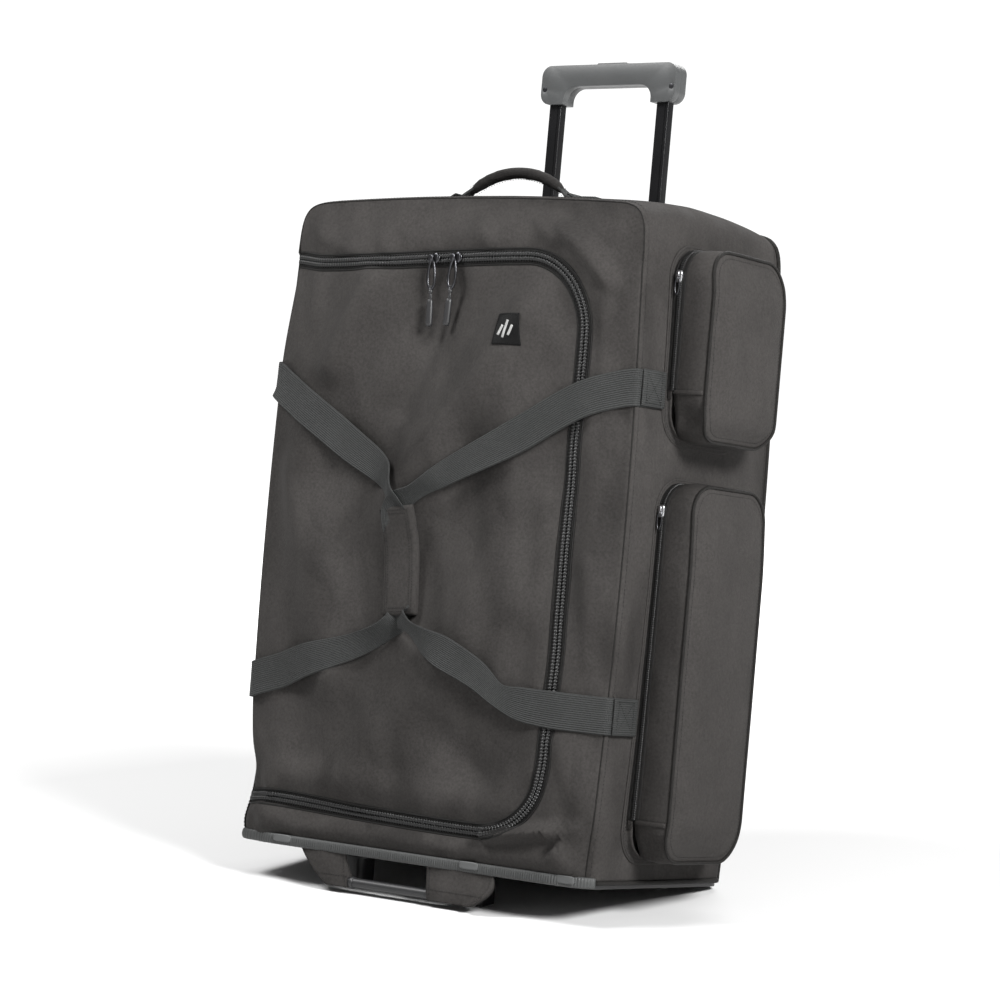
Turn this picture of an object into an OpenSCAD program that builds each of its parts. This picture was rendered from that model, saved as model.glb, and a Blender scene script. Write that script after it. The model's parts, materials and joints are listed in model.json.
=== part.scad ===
// Rolling duffel bag: soft upright body on a moulded tray, U-shaped zipped lid, two side pockets,
// carry straps joined by a wrap, trolley handle, two wheels and two front feet.
// Everything is drawn upright in the bag's own frame (+X to the bag's right seen from the front,
// +Y to the back, +Z up the bag) and then leaned back onto its wheels and feet.

/* [Body] */
// Width of the bag over the side panels
body_w = 470; // [420:5:520]
// Depth of the bag, front to back
body_d = 270; // [250:5:320]
// Height of the bag without its trolley handle
body_h = 730; // [700:5:800]
// Thickness of a padded fabric panel
panel_t = 3; // [2:0.5:4]
// Radius of the two top corners
top_r = 60; // [40:5:80]
// Angle the bag leans back when it stands on its wheels and feet
lean = 8.5; // [4:0.5:10]

/* [Base] */
// Height of the moulded tray wall
tray_h = 26; // [20:1:40]
// Radius of the tray corners in plan
tray_r = 25; // [15:1:40]
// Wheel radius over the tyre
wheel_r = 33; // [30:1:36]
// Width of a wheel
wheel_w = 24; // [20:1:26]
// How far a wheel reaches below the tray
wheel_drop = 8; // [6:1:12]
// Distance from the middle of the bag to the middle of a wheel
wheel_x = 170; // [150:5:185]
// Radius of an axle
axle_r = 4; // [3:0.5:5]
// Half the distance between the two front feet
foot_x = 85; // [60:5:120]

/* [Lid] */
// Distance from the middle to the right run of the main zip
lid_right = 175; // [150:5:190]
// Height of the top run of the main zip
lid_top = 665; // [640:5:670]
// Height of the bottom run of the main zip
lid_bottom = 50; // [45:1:80]
// Radius of the zip where it turns its corners
lid_r = 78; // [50:2:100]
// Width of one zip tape
tape_w = 9; // [6:1:12]

/* [Straps] */
// Width of the carry webbing
web_w = 40; // [30:1:50]
// Thickness of the carry webbing
web_t = 2.4; // [1.6:0.1:3]
// Height where the upper webbing is sewn to the sides
web_top_z = 534; // [500:2:560]
// Height where the lower webbing is sewn to the sides
web_low_z = 184; // [160:2:220]
// Height of the lower end of the grip wrap
wrap_z = 270; // [250:5:300]
// Length of the grip wrap
wrap_len = 120; // [100:5:140]

/* [Pockets] */
// How far a side pocket stands out from the side panel
pocket_out = 57; // [40:1:60]
// Width of a side pocket, front to back
pocket_w = 142; // [120:2:160]
// Height of the upper pocket
upper_h = 204; // [160:2:210]
// Height of the lower pocket
lower_h = 402; // [360:2:404]

/* [Trolley] */
// Distance between the middles of the two tubes
tube_pitch = 152; // [130:2:170]
// Width of a sliding tube
tube_w = 17; // [14:1:20]
// Depth of a sliding tube
tube_d = 12; // [10:1:14]
// Wall of a tube
tube_t = 1.2; // [1:0.1:1.5]
// How far the grip stands above the bag at rest
grip_out = 200; // [180:5:220]
// Width of the grip
grip_w = 190; // [180:2:200]
// Travel of the release button
button_travel = 4; // [3:0.5:4]

/* [Hidden] */
$fn = 48;
eps = 0.2;                  // gap between neighbouring sewn pieces
trim_t = 3;                 // thickness of the edge trim and the piping
hx = body_w / 2;
hy = body_d / 2;
wheel_y = hy - 43;
axle_z = wheel_r - wheel_drop;
lift_z = wheel_r + wheel_y * sin(lean) - axle_z * cos(lean);
tube_y = hy - 16;           // middle plane of the trolley
grip_top = body_h + grip_out;
grip_h = 46;
grip_d = 22;
grip_wall = 2.5;
bar_h = 25;                 // height of the grip's cross bar
slide_gap = 0.4;            // gap between a sliding tube and its outer tube
outer_w = tube_w + 2 * slide_gap + 2 * tube_t;
outer_d = tube_d + 2 * slide_gap + 2 * tube_t;
tube_low = 182;             // lower end of a sliding tube at rest
tube_high = grip_top - 24;
board_y = tube_y - 14.3;     // front face of the board that covers the tubes
socket_z = 12;              // floor of the tube sockets
web_y = -hy - 3;            // plane on the back of the left webbing
web_gap = 0.6;
anchor_len = 36;            // webbing end sewn to a side panel
wrap_x = -28;
wrap_w = 52;
wrap_t = 2;
wrap_front = web_y - 2 * web_t - web_gap - 0.8 - wrap_t;
slider_z = lid_top;
pull_z = lid_top - 3;
pull_y = -hy - 6.5;
handle_y = -48;             // plane of the top handle
handle_z = body_h + 7;      // its hinge line
handle_span = 84;
handle_rise = 40;
handle_R = (handle_span * handle_span + handle_rise * handle_rise) / (2 * handle_rise);
handle_half = asin(handle_span / handle_R);
low_handle_y = -hy - 5;
low_handle_z = 2;
low_bar_x = 56;
low_x = -24;                // the bottom handle and the feet are left of the middle
low_bar_r = 5.5;
low_bar_drop = 32;
pocket_y = -10;             // middle of the pockets, front to back
pocket_r = 32;
pocket_t = 2.4;
pocket_base = 11;           // height of the gusset that stays on the bag
upper_z = 484;
lower_z = 34;
well_w = 38;
well_h = 66;
well_y = wheel_y - wheel_r - 7;
// the origin is the middle of the leaned bag's box: from the left trim to the right pockets,
// and from the bottom handle's bar to the back edge of the grip
shift_x = -(pocket_out - trim_t) / 2;
shift_y = -((tube_y + grip_d / 2) * cos(lean) + grip_top * sin(lean)
            + low_handle_y * cos(lean) + low_handle_z * sin(lean) - low_bar_r) / 2;

fabric = "#3d3b3a";
webbing = "#45484a";
black = "#161616";
plastic = "#4c4e50";
steel = "#b8bab9";

// ---- frames and outlines -------------------------------------------------

// puts a piece drawn in the bag's frame onto its wheels and feet
module bag() translate([shift_x, shift_y, lift_z]) rotate([-lean, 0, 0]) children();

// a flat outline drawn in X and Z, from y0 for a thickness t towards the back
module plate_xz(y0, t) translate([0, y0 + t, 0]) rotate([90, 0, 0]) linear_extrude(t) children();

// a flat outline drawn in Y and Z, from x0 for a thickness t to the right
module plate_yz(x0, t) translate([x0, 0, 0]) rotate([90, 0, 90]) linear_extrude(t) children();

// a rectangle with four round corners
module round_rect(x0, x1, y0, y1, r) {
    translate([x0 + r, y0]) square([x1 - x0 - 2 * r, y1 - y0]);
    translate([x0, y0 + r]) square([x1 - x0, y1 - y0 - 2 * r]);
    for (x = [x0 + r, x1 - r], y = [y0 + r, y1 - r]) translate([x, y]) circle(r);
}

// the bag seen from the front, grown by g: square below, round at the top corners
module front_outline(g = 0, z0 = tray_h + eps) {
    r = top_r + g;
    translate([-hx - g, z0]) square([body_w + 2 * g, body_h + g - r - z0]);
    translate([-hx - g + r, z0]) square([body_w + 2 * g - 2 * r, body_h + g - z0]);
    for (s = [-1, 1]) translate([s * (hx + g - r), body_h + g - r]) circle(r);
}

// the lid grown by g: it runs off the left edge and is round at its right corners
module lid_outline(g = 0, x0 = -hx) {
    r = lid_r + g;
    x1 = lid_right + g;
    translate([x0, lid_bottom - g]) square([x1 - r - x0, lid_top - lid_bottom + 2 * g]);
    translate([x1 - r, lid_bottom - g + r]) square([r, lid_top - lid_bottom + 2 * g - 2 * r]);
    for (z = [lid_bottom - g + r, lid_top + g - r]) translate([x1 - r, z]) circle(r);
}

// a strip of webbing between two points of the front plane
module web_strip(a, b, w0, w1) {
    d = (b - a) / norm(b - a);
    n = [-d[1], d[0]];
    polygon([a + n * w0 / 2, b + n * w1 / 2, b - n * w1 / 2, a - n * w0 / 2]);
}

// the rectangular section of a tube with slightly round corners
module tube_section(w, d, r) translate([-w / 2, -d / 2]) round_rect(0, w, 0, d, r);

// both wheel wells cut out of the tray and its board
module wells(gap) for (s = [-1, 1])
    translate([s * wheel_x - well_w / 2 - gap, well_y - gap, -1]) cube([well_w + 2 * gap, 200, 100]);

// a countersunk screw along +Y with its head at y = 0
module screw(len) rotate([-90, 0, 0]) {
    cylinder(h = 2, r = 3.2);
    translate([0, 0, 1.9]) cylinder(h = len - 1.9, r = 1.5);
}

// ---- fabric body -----------------------------------------------------------

module back_panel() color(fabric) bag() difference() {
    plate_xz(hy - panel_t, panel_t) front_outline();
    for (s = [-1, 1]) translate([s * wheel_x - well_w / 2 - eps, 0, 0])
        cube([well_w + 2 * eps, hy + 1, well_h + eps]);
}

module back_board() color(black) bag() difference() {
    plate_xz(board_y, 3) round_rect(-hx + 12, hx - 12, 30, body_h - 12, 40);
    wells(1);
}

module side_panel(s) color(fabric) bag()
    plate_yz(s < 0 ? -hx : hx - panel_t, panel_t)
        translate([-hy + panel_t + eps, tray_h + eps])
            square([body_d - 2 * panel_t - 2 * eps, body_h - top_r - tray_h - 2 * eps]);
module side_panel_left() side_panel(-1);
module side_panel_right() side_panel(1);

module top_panel() color(fabric) bag() difference() {
    plate_xz(-hy + panel_t + eps, body_d - 2 * panel_t - 2 * eps) intersection() {
        difference() {
            front_outline();
            front_outline(-panel_t);
        }
        translate([-hx, body_h - top_r]) square([body_w, top_r]);
    }
    for (s = [-1, 1]) translate([s * tube_pitch / 2 - 12.2, tube_y - 9.7, body_h - 10])
        cube([24.4, 19.4, 20]);
}

module front_frame() color(fabric) bag() plate_xz(-hy, panel_t) difference() {
    front_outline();
    lid_outline(0.4, -hx - 1);
}

module piping() color(black) bag() for (y = [-hy + 0.5, hy - 3.5]) plate_xz(y, 3) difference() {
    front_outline(trim_t);
    front_outline(0, 0);
}

module zip_tape_outer() color(black) bag() {
    plate_xz(-hy - 0.8, 0.8) difference() {
        lid_outline(tape_w, -hx + 3);
        lid_outline(0.4, -hx - 1);
    }
    plate_xz(-hy - 1.8, 1) difference() {
        lid_outline(2.2, -hx + 3);
        lid_outline(0.2, -hx - 1);
    }
}

// ---- base ------------------------------------------------------------------

module base_tray() color(plastic) bag() difference() {
    linear_extrude(tray_h) round_rect(-hx, hx, -hy, hy, tray_r);
    translate([0, 0, 3]) linear_extrude(tray_h)
        round_rect(-hx + 3, hx - 3, -hy + 3, hy - 3, tray_r - 3);
    wells(0);
}

module base_board() color(black) bag() difference() {
    translate([0, 0, 3.2]) linear_extrude(2.4)
        round_rect(-hx + 4, hx - 4, -hy + 4, hy - 4, tray_r - 4);
    wells(1);
}

module edge_trim() color(plastic) bag() translate([0, 0, 3]) linear_extrude(14) difference() {
    round_rect(-hx - trim_t, hx + trim_t, -hy - trim_t, hy + trim_t, tray_r + trim_t);
    round_rect(-hx, hx, -hy, hy, tray_r);
    translate([-hx - 5, 60]) square([body_w + 10, hy]);
}

module edge_clips() color(steel) bag() for (x = [-173, 104, 200])
    translate([x - 13, -hy - 5.4, 2]) cube([26, 2.2, 16]);

module wheel_housing(s) color(black) bag() difference() {
    plate_yz(s * wheel_x - well_w / 2, well_w) housing_side(0);
    plate_yz(s * wheel_x - well_w / 2 + 4, well_w - 8) housing_side(4);
    translate([s * wheel_x - well_w, wheel_y, axle_z]) rotate([0, 90, 0])
        cylinder(h = 2 * well_w, r = axle_r + 0.05);
}
// side view of a housing, inset by g: open below and at the back, round over the wheel
module housing_side(g) {
    r = 28;
    y0 = well_y + g;
    y1 = hy + (g > 0 ? 5 : 0);
    z1 = well_h - g;
    z0 = g > 0 ? -5 : 0;
    translate([y0, z0]) square([y1 - y0, z1 - r - z0]);
    translate([y0 + r, z0]) square([y1 - y0 - r, z1 - z0]);
    translate([y0 + r, z1 - r]) circle(r);
}
module wheel_housing_left() wheel_housing(-1);
module wheel_housing_right() wheel_housing(1);

module axles() color(steel) bag() for (s = [-1, 1]) translate([s * wheel_x, wheel_y, axle_z])
    rotate([0, 90, 0]) {
        translate([0, 0, -well_w / 2 - 2]) cylinder(h = well_w + 4, r = axle_r);
        for (e = [-well_w / 2 - 2, well_w / 2]) translate([0, 0, e]) cylinder(h = 2, r = axle_r + 2.5);
    }

module front_feet() color(black) difference() {
    bag() for (s = [-1, 1]) {
        translate([s * foot_x + low_x, -93, -4]) linear_extrude(4) translate([-29, -20])
            round_rect(0, 58, 0, 40, 8);
        translate([s * foot_x + low_x, -93, -60]) linear_extrude(58) translate([-20, -14])
            round_rect(0, 40, 0, 28, 8);
    }
    translate([-500, -500, -100]) cube([1000, 1000, 100]);
}

module frame_screws() color(steel) bag() {
    // through the tray into the feet
    for (s = [-1, 1], x = [-24, 24]) translate([s * foot_x + low_x + x, -93, 5.7]) cylinder(h = 1.8, r = 3.5);
    // through the bottom bracket
    for (x = [-40, 40]) translate([x, tube_y, 22.1]) cylinder(h = 1.8, r = 3.5);
    // through the top bracket
    for (x = [-45, 45]) translate([x, tube_y, body_h + 4.1]) cylinder(h = 1.2, r = 3.5);
}

// ---- trolley: fixed frame ----------------------------------------------------

module outer_tube(s) color("#2a2a2b") bag() translate([s * tube_pitch / 2, tube_y, socket_z])
    linear_extrude(body_h - 8 - socket_z) difference() {
        tube_section(outer_w, outer_d, 3);
        tube_section(tube_w + 2 * slide_gap, tube_d + 2 * slide_gap, 2.2);
    }
module outer_tube_left() outer_tube(-1);
module outer_tube_right() outer_tube(1);

module top_bracket() color(black) bag() difference() {
    union() {
        translate([0, 0, body_h + eps]) linear_extrude(3.8) round_rect(-98, 98, hy - 31, hy - 4, 8);
        for (s = [-1, 1]) translate([s * tube_pitch / 2, tube_y, body_h - 18])
            linear_extrude(20) tube_section(23.8, 18.8, 3);
    }
    for (s = [-1, 1]) translate([s * tube_pitch / 2, tube_y, 0]) {
        translate([0, 0, body_h - 30]) linear_extrude(22.1) tube_section(outer_w + 0.1, outer_d + 0.1, 3);
        translate([0, 0, body_h - 30]) linear_extrude(50)
            tube_section(tube_w + 2 * slide_gap, tube_d + 2 * slide_gap, 2.2);
    }
}

module bottom_bracket() color(black) bag() difference() {
    translate([0, 0, 6]) union() {
        linear_extrude(16) round_rect(-98, 98, tube_y - 11, tube_y + 11, 6);
        for (s = [-1, 1]) translate([s * tube_pitch / 2, tube_y, 0]) linear_extrude(34)
            tube_section(outer_w + 6, outer_d + 5, 4);
    }
    for (s = [-1, 1]) translate([s * tube_pitch / 2, tube_y, socket_z]) linear_extrude(60)
        tube_section(outer_w + 0.1, outer_d + 0.1, 3);
}

// ---- trolley: sliding stage ---------------------------------------------------

module inner_tube(s) color(black) bag() translate([s * tube_pitch / 2, tube_y, tube_low])
    linear_extrude(tube_high - tube_low) difference() {
        tube_section(tube_w, tube_d, 2);
        tube_section(tube_w - 2 * tube_t, tube_d - 2 * tube_t, 1);
        // lengthwise groove in the front face
        translate([tube_w / 2 - 4, -tube_d / 2]) square([1.6, 1], center = true);
    }
module inner_tube_left() inner_tube(-1);
module inner_tube_right() inner_tube(1);

module guide_blocks() color(plastic) bag() for (s = [-1, 1])
    translate([s * tube_pitch / 2, tube_y, tube_low - 8]) {
        linear_extrude(7.9) tube_section(tube_w + 0.3, tube_d + 0.3, 2);
        linear_extrude(22) tube_section(tube_w - 2 * tube_t - 0.2, tube_d - 2 * tube_t - 0.2, 1);
    }

// the grip seen from the front, inset by g
module grip_outline(g = 0) difference() {
    round_rect(-grip_w / 2 + g, grip_w / 2 - g, grip_top - grip_h + g, grip_top - g, 13 - g);
    round_rect(-62 - g, 62 + g, grip_top - grip_h - 40, grip_top - bar_h + g, 16 + g);
}
module grip_shell(front) color(plastic) bag() {
    y0 = front ? tube_y - grip_d / 2 : tube_y + 0.1;
    depth = grip_d / 2 - 0.1;
    difference() {
        plate_xz(y0, depth) grip_outline();
        plate_xz(front ? y0 + grip_wall : y0 - 1, depth - grip_wall + 1) grip_outline(grip_wall);
        // tube entries
        for (s = [-1, 1]) translate([s * tube_pitch / 2, tube_y, grip_top - grip_h - 1])
            linear_extrude(grip_wall + 3) tube_section(tube_w + 0.1, tube_d + 0.1, 2);
        // button slot
        translate([-22.3, tube_y - 5.3, grip_top - 6]) cube([44.6, 10.6, 10]);
        // screw holes
        if (front) for (s = [-1, 1]) translate([s * 89.5, y0 - 1, grip_top - 28]) rotate([-90, 0, 0]) {
            cylinder(h = 20, r = 1.6);
            cylinder(h = 2.2, r = 3.3);
        }
    }
    if (!front) for (s = [-1, 1]) translate([s * 89.5, y0, grip_top - 28]) rotate([-90, 0, 0])
        difference() {
            cylinder(h = depth - grip_wall + 0.5, r = 3.3);
            translate([0, 0, -1]) cylinder(h = 7, r = 1.55);
        }
}
module grip_front_shell() grip_shell(true);
module grip_rear_shell() grip_shell(false);

module grip_screws() color(steel) bag() for (s = [-1, 1])
    translate([s * 89.5, tube_y - grip_d / 2 + 0.1, grip_top - 28]) rotate([-90, 0, 0]) {
        cylinder(h = 1, r = 3.1);
        cylinder(h = 15, r = 1.5);
    }

// a wire of radius wire_r wound into turns of radius coil_r over the height h
module coil_spring(coil_r, wire_r, h, turns, steps = 20, sides = 8) {
    rings = turns * steps;
    points = [for (i = [0:rings], j = [0:sides - 1])
        let (a = 360 * i / steps, b = 360 * j / sides, r = coil_r + wire_r * cos(b))
        [r * cos(a), r * sin(a), wire_r + (h - 2 * wire_r) * i / rings + wire_r * sin(b)]];
    walls = [for (i = [0:rings - 1], j = [0:sides - 1])
        let (k = (j + 1) % sides, p = i * sides, q = (i + 1) * sides) [p + j, q + j, q + k, p + k]];
    polyhedron(points, concat([[for (j = [0:sides - 1]) j]], walls,
        [[for (j = [sides - 1:-1:0]) rings * sides + j]]));
}

module button_spring() color(steel) bag()
    translate([0, tube_y, grip_top - bar_h + grip_wall + 0.2]) coil_spring(3.2, 0.5, 8, 5);

module release_button() color(black) bag() {
    translate([-22, tube_y - 5, grip_top - 10]) cube([44, 10, 8.4]);
    plate_xz(tube_y - 5, 10) round_rect(-22, 22, grip_top - 8, grip_top + 2.5, 3);
}

module release_rods() color(steel) bag() {
    translate([-tube_pitch / 2 - 2.5, tube_y - 2.5, grip_top - 14])
        cube([tube_pitch + 5, 5, 4]);
    for (s = [-1, 1]) translate([s * tube_pitch / 2, tube_y, tube_low + 22])
        cylinder(h = grip_top - 13 - tube_low - 22, r = 1.5);
}

// ---- wheels ------------------------------------------------------------------

module wheel_place(s) bag() translate([s * wheel_x, wheel_y, axle_z]) rotate([0, 90, 0]) children();

module tyre(s) color(black) wheel_place(s) rotate_extrude($fn = 96) {
    translate([25, -wheel_w / 2]) square([wheel_r - 25 - 4, wheel_w]);
    translate([25, -wheel_w / 2 + 4]) square([wheel_r - 25, wheel_w - 8]);
    for (z = [-wheel_w / 2 + 4, wheel_w / 2 - 4]) translate([wheel_r - 4, z]) circle(4);
}
module tyre_left() tyre(-1);
module tyre_right() tyre(1);

module hub(s) color(plastic) wheel_place(s) difference() {
    cylinder(h = wheel_w - 1, r = 24.95, center = true, $fn = 96);
    for (e = [-1, 1]) translate([0, 0, e * (wheel_w / 2 - 0.5 - 3.5)]) cylinder(h = 7.2, r = 11, center = true);
    cylinder(h = wheel_w, r = 9, center = true);
    for (e = [-1, 1], a = [0:72:359]) rotate([0, 0, a]) translate([17.5, 0, e * (wheel_w / 2 - 2)])
        cylinder(h = 6, r = 4.5, center = true);
}
module hub_left() hub(-1);
module hub_right() hub(1);

module bearings(s) color(steel) wheel_place(s) for (e = [-1, 1])
    translate([0, 0, e * (wheel_w / 2 - 4)]) difference() {
        cylinder(h = 7, r = 10.95, center = true);
        cylinder(h = 8, r = axle_r + 0.04, center = true);
        for (f = [-1, 1]) translate([0, 0, f * 3.5]) difference() {
            cylinder(h = 1, r = 9.3, center = true);
            cylinder(h = 2, r = 6, center = true);
        }
    }
module bearings_left() bearings(-1);
module bearings_right() bearings(1);

// ---- lid and straps --------------------------------------------------------------

module lid_panel() color(fabric) bag() plate_xz(-hy, panel_t) lid_outline(0, -hx + 0.5);

module zip_tape_inner() color(black) bag() {
    plate_xz(-hy - 0.8, 0.8) difference() {
        lid_outline(0, -hx + 3);
        lid_outline(-tape_w, -hx - 1);
    }
    plate_xz(-hy - 1.8, 1) difference() {
        lid_outline(-0.2, -hx + 3);
        lid_outline(-2.2, -hx - 1);
    }
}

module lid_patch() color(black) bag() plate_xz(-hy - 0.8, 0.8) round_rect(66, 104, 568, 604, 2);

// the two side webbings meet in an upright stretch inside the wrap
module strap_left() color(webbing) bag() plate_xz(web_y - web_t, web_t) intersection() {
    union() {
        web_strip([-hx, web_top_z], [wrap_x, wrap_z + wrap_len + 14], web_w, 34);
        web_strip([wrap_x, wrap_z + wrap_len + 20], [wrap_x, wrap_z - 20], 34, 34);
        web_strip([wrap_x, wrap_z - 14], [-hx, web_low_z], 34, web_w);
    }
    // it stops short of the lid's hinge line
    translate([-hx + 5, 0]) square([body_w, body_h]);
}
module strap_right() color(webbing) bag() plate_xz(web_y - 2 * web_t - web_gap, web_t) {
    web_strip([hx, web_top_z - 4], [wrap_x, wrap_z + wrap_len + 10], web_w, 34);
    web_strip([wrap_x, wrap_z + wrap_len + 20], [wrap_x, wrap_z - 20], 34, 34);
    web_strip([wrap_x, wrap_z - 14], [115, web_low_z + 8], 34, web_w);
    web_strip([107, web_low_z], [hx, web_low_z], web_w, web_w);
}

module grip_wrap() color(fabric) bag() translate([0, 0, wrap_z]) linear_extrude(wrap_len) {
    translate([wrap_x - wrap_w / 2, wrap_front]) square([wrap_w, wrap_t]);
    for (s = [-1, 1]) translate([wrap_x + s * (wrap_w / 2 - wrap_t / 2) - wrap_t / 2, wrap_front])
        square([wrap_t, web_y + 0.4 - wrap_front]);
}

module strap_anchors() color(webbing) bag() for (s = [-1, 1], z = [web_top_z, web_low_z])
    plate_yz(s < 0 ? -hx - eps - web_t : hx + eps, web_t)
        translate([-hy + 7, z - web_w / 2]) square([anchor_len, web_w]);

// ---- handles -----------------------------------------------------------------------

module handle_arc(half) translate([0, handle_y, handle_z + handle_rise - handle_R])
    rotate([90, 0, 0]) rotate([0, 0, 90 - half]) rotate_extrude(angle = 2 * half, $fn = 96)
        translate([handle_R, 0]) children();

module top_handle_webbing() color(webbing) bag() handle_arc(handle_half)
    square([4, 5], center = true);

module top_handle_grip() color(fabric) bag() handle_arc(34) difference() {
    circle(8.5);
    square([4.4, 5.4], center = true);
}

module top_handle_tabs() color(webbing) bag() for (s = [-1, 1])
    translate([s * (handle_span + 8) - 24, handle_y - 12.5, body_h + eps]) cube([48, 25, 2.4]);

// the bottom handle hangs straight down from the front edge of the tray
module hang() translate([0, low_handle_y, low_handle_z]) rotate([lean, 0, 0]) children();

module bottom_handle_bar() color(black) bag() hang()
    translate([low_x - low_bar_x, 0, -low_bar_drop]) rotate([0, 90, 0])
        cylinder(h = 2 * low_bar_x, r = low_bar_r);

module bottom_handle_wings() color(fabric) bag() hang() for (s = [-1, 1])
    translate([low_x, 0, 0]) scale([s, 1, 1])
        plate_xz(-1.5, 3) polygon([[72, -1], [140, -1], [92, -low_bar_drop - 5],
            [low_bar_x + 0.3, -low_bar_drop - 5], [low_bar_x + 0.3, -low_bar_drop + 5]]);

// ---- zip sliders and pulls -------------------------------------------------------------

module main_slider(x) color(black) bag() {
    plate_xz(-hy - 6, 3.9) round_rect(x - 8, x + 8, slider_z - 5, slider_z + 5, 3);
    plate_xz(-hy - 7.4, 1.6) round_rect(x - 4, x + 4, slider_z + 0.5, slider_z + 4, 1);
}
module main_slider_left() main_slider(-26);
module main_slider_right() main_slider(6);

// wire loop, cord and tube grip, hanging down the lid
module main_pull(x) color(black) bag() translate([x, pull_y - 1.4, 0]) {
    plate_xz(-0.8, 1.6) difference() {
        round_rect(-6, 6, pull_z - 34, pull_z + 1, 5);
        round_rect(-4.4, 4.4, pull_z - 32.4, pull_z - 0.6, 4);
    }
    translate([0, 0, pull_z - 48]) cylinder(h = 14.2, r = 1.6);
    translate([0, 0, pull_z - 74]) cylinder(h = 27, r = 3.4);
}
module main_pull_left() main_pull(-26);
module main_pull_right() main_pull(6);

// ---- side pockets -------------------------------------------------------------------------

module pocket_outline(z0, h, g) round_rect(pocket_y - pocket_w / 2 - g, pocket_y + pocket_w / 2 + g,
    z0 - g, z0 + h + g, pocket_r + g);

// sewn flange and the part of the gusset below the zip
module pocket_base(z0, h) color(fabric) bag() {
    plate_yz(hx, 2) difference() {
        pocket_outline(z0, h, 7);
        pocket_outline(z0, h, -pocket_t);
    }
    plate_yz(hx + 1.9, pocket_base - 2.2) difference() {
        pocket_outline(z0, h, 0);
        pocket_outline(z0, h, -pocket_t);
    }
}
module pocket_base_upper() pocket_base(upper_z, upper_h);
module pocket_base_lower() pocket_base(lower_z, lower_h);

// gusset above the zip, and the outer panel
module pocket_cover(z0, h) color(fabric) bag() difference() {
    plate_yz(hx + pocket_base, pocket_out - pocket_base) pocket_outline(z0, h, 0);
    plate_yz(hx + pocket_base - 1, pocket_out - pocket_base + 1 - pocket_t)
        pocket_outline(z0, h, -pocket_t);
}
module pocket_cover_upper() pocket_cover(upper_z, upper_h);
module pocket_cover_lower() pocket_cover(lower_z, lower_h);

module pocket_slider(z) color(steel) bag() {
    translate([hx + pocket_base - 5, pocket_y - pocket_w / 2 - 4.6, z - 7]) cube([9, 4.2, 14]);
    translate([hx + pocket_base - 3.5, pocket_y - pocket_w / 2 - 6.6, z - 30]) cube([6, 1.8, 34]);
}
module pocket_slider_upper() pocket_slider(upper_z + upper_h - pocket_r - 8);
module pocket_slider_lower() pocket_slider(lower_z + lower_h - pocket_r - 8);

// ---- the nodes ------------------------------------------------------------------------------

back_panel();
back_board();
side_panel_left();
side_panel_right();
top_panel();
front_frame();
base_tray();
base_board();
edge_trim();
edge_clips();
piping();
zip_tape_outer();
wheel_housing_left();
wheel_housing_right();
axles();
front_feet();
frame_screws();
outer_tube_left();
outer_tube_right();
top_bracket();
bottom_bracket();
strap_anchors();
top_handle_tabs();
pocket_base_upper();
pocket_base_lower();
lid_panel();
zip_tape_inner();
lid_patch();
strap_left();
strap_right();
grip_wrap();
inner_tube_left();
inner_tube_right();
guide_blocks();
grip_front_shell();
grip_rear_shell();
grip_screws();
button_spring();
release_button();
release_rods();
tyre_left();
hub_left();
bearings_left();
tyre_right();
hub_right();
bearings_right();
top_handle_webbing();
top_handle_grip();
bottom_handle_bar();
bottom_handle_wings();
main_slider_left();
main_slider_right();
main_pull_left();
main_pull_right();
pocket_cover_upper();
pocket_cover_lower();
pocket_slider_upper();
pocket_slider_lower();
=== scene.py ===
"""Looks of the rolling duffel bag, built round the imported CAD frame.

Everything is drawn upright in the bag's own frame (X to the bag's right as seen from the front,
Y to the back, Z up the bag, metres) and then leaned back with the bag.
"""
import json
import math

import bmesh
import bpy
import numpy as np
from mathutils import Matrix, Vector, noise

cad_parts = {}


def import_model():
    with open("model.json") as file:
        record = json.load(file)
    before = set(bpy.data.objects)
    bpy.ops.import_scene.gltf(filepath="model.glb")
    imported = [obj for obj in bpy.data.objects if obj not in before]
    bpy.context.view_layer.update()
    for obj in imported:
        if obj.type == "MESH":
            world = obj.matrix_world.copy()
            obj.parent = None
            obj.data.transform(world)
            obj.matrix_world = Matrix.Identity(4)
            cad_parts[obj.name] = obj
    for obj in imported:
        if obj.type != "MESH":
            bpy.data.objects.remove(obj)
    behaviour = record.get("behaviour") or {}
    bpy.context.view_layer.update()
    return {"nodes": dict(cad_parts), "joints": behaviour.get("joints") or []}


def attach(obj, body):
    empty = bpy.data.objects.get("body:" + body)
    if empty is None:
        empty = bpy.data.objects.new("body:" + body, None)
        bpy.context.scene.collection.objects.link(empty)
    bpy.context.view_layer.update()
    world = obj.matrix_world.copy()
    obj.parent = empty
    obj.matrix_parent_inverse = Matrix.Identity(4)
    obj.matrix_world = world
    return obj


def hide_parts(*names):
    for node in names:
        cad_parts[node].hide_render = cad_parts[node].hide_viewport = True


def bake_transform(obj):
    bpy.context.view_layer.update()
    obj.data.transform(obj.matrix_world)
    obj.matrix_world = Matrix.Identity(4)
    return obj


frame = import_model()
NODE = frame["nodes"]

# ---- sizes of the bag, in metres, as in the CAD --------------------------------

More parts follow.
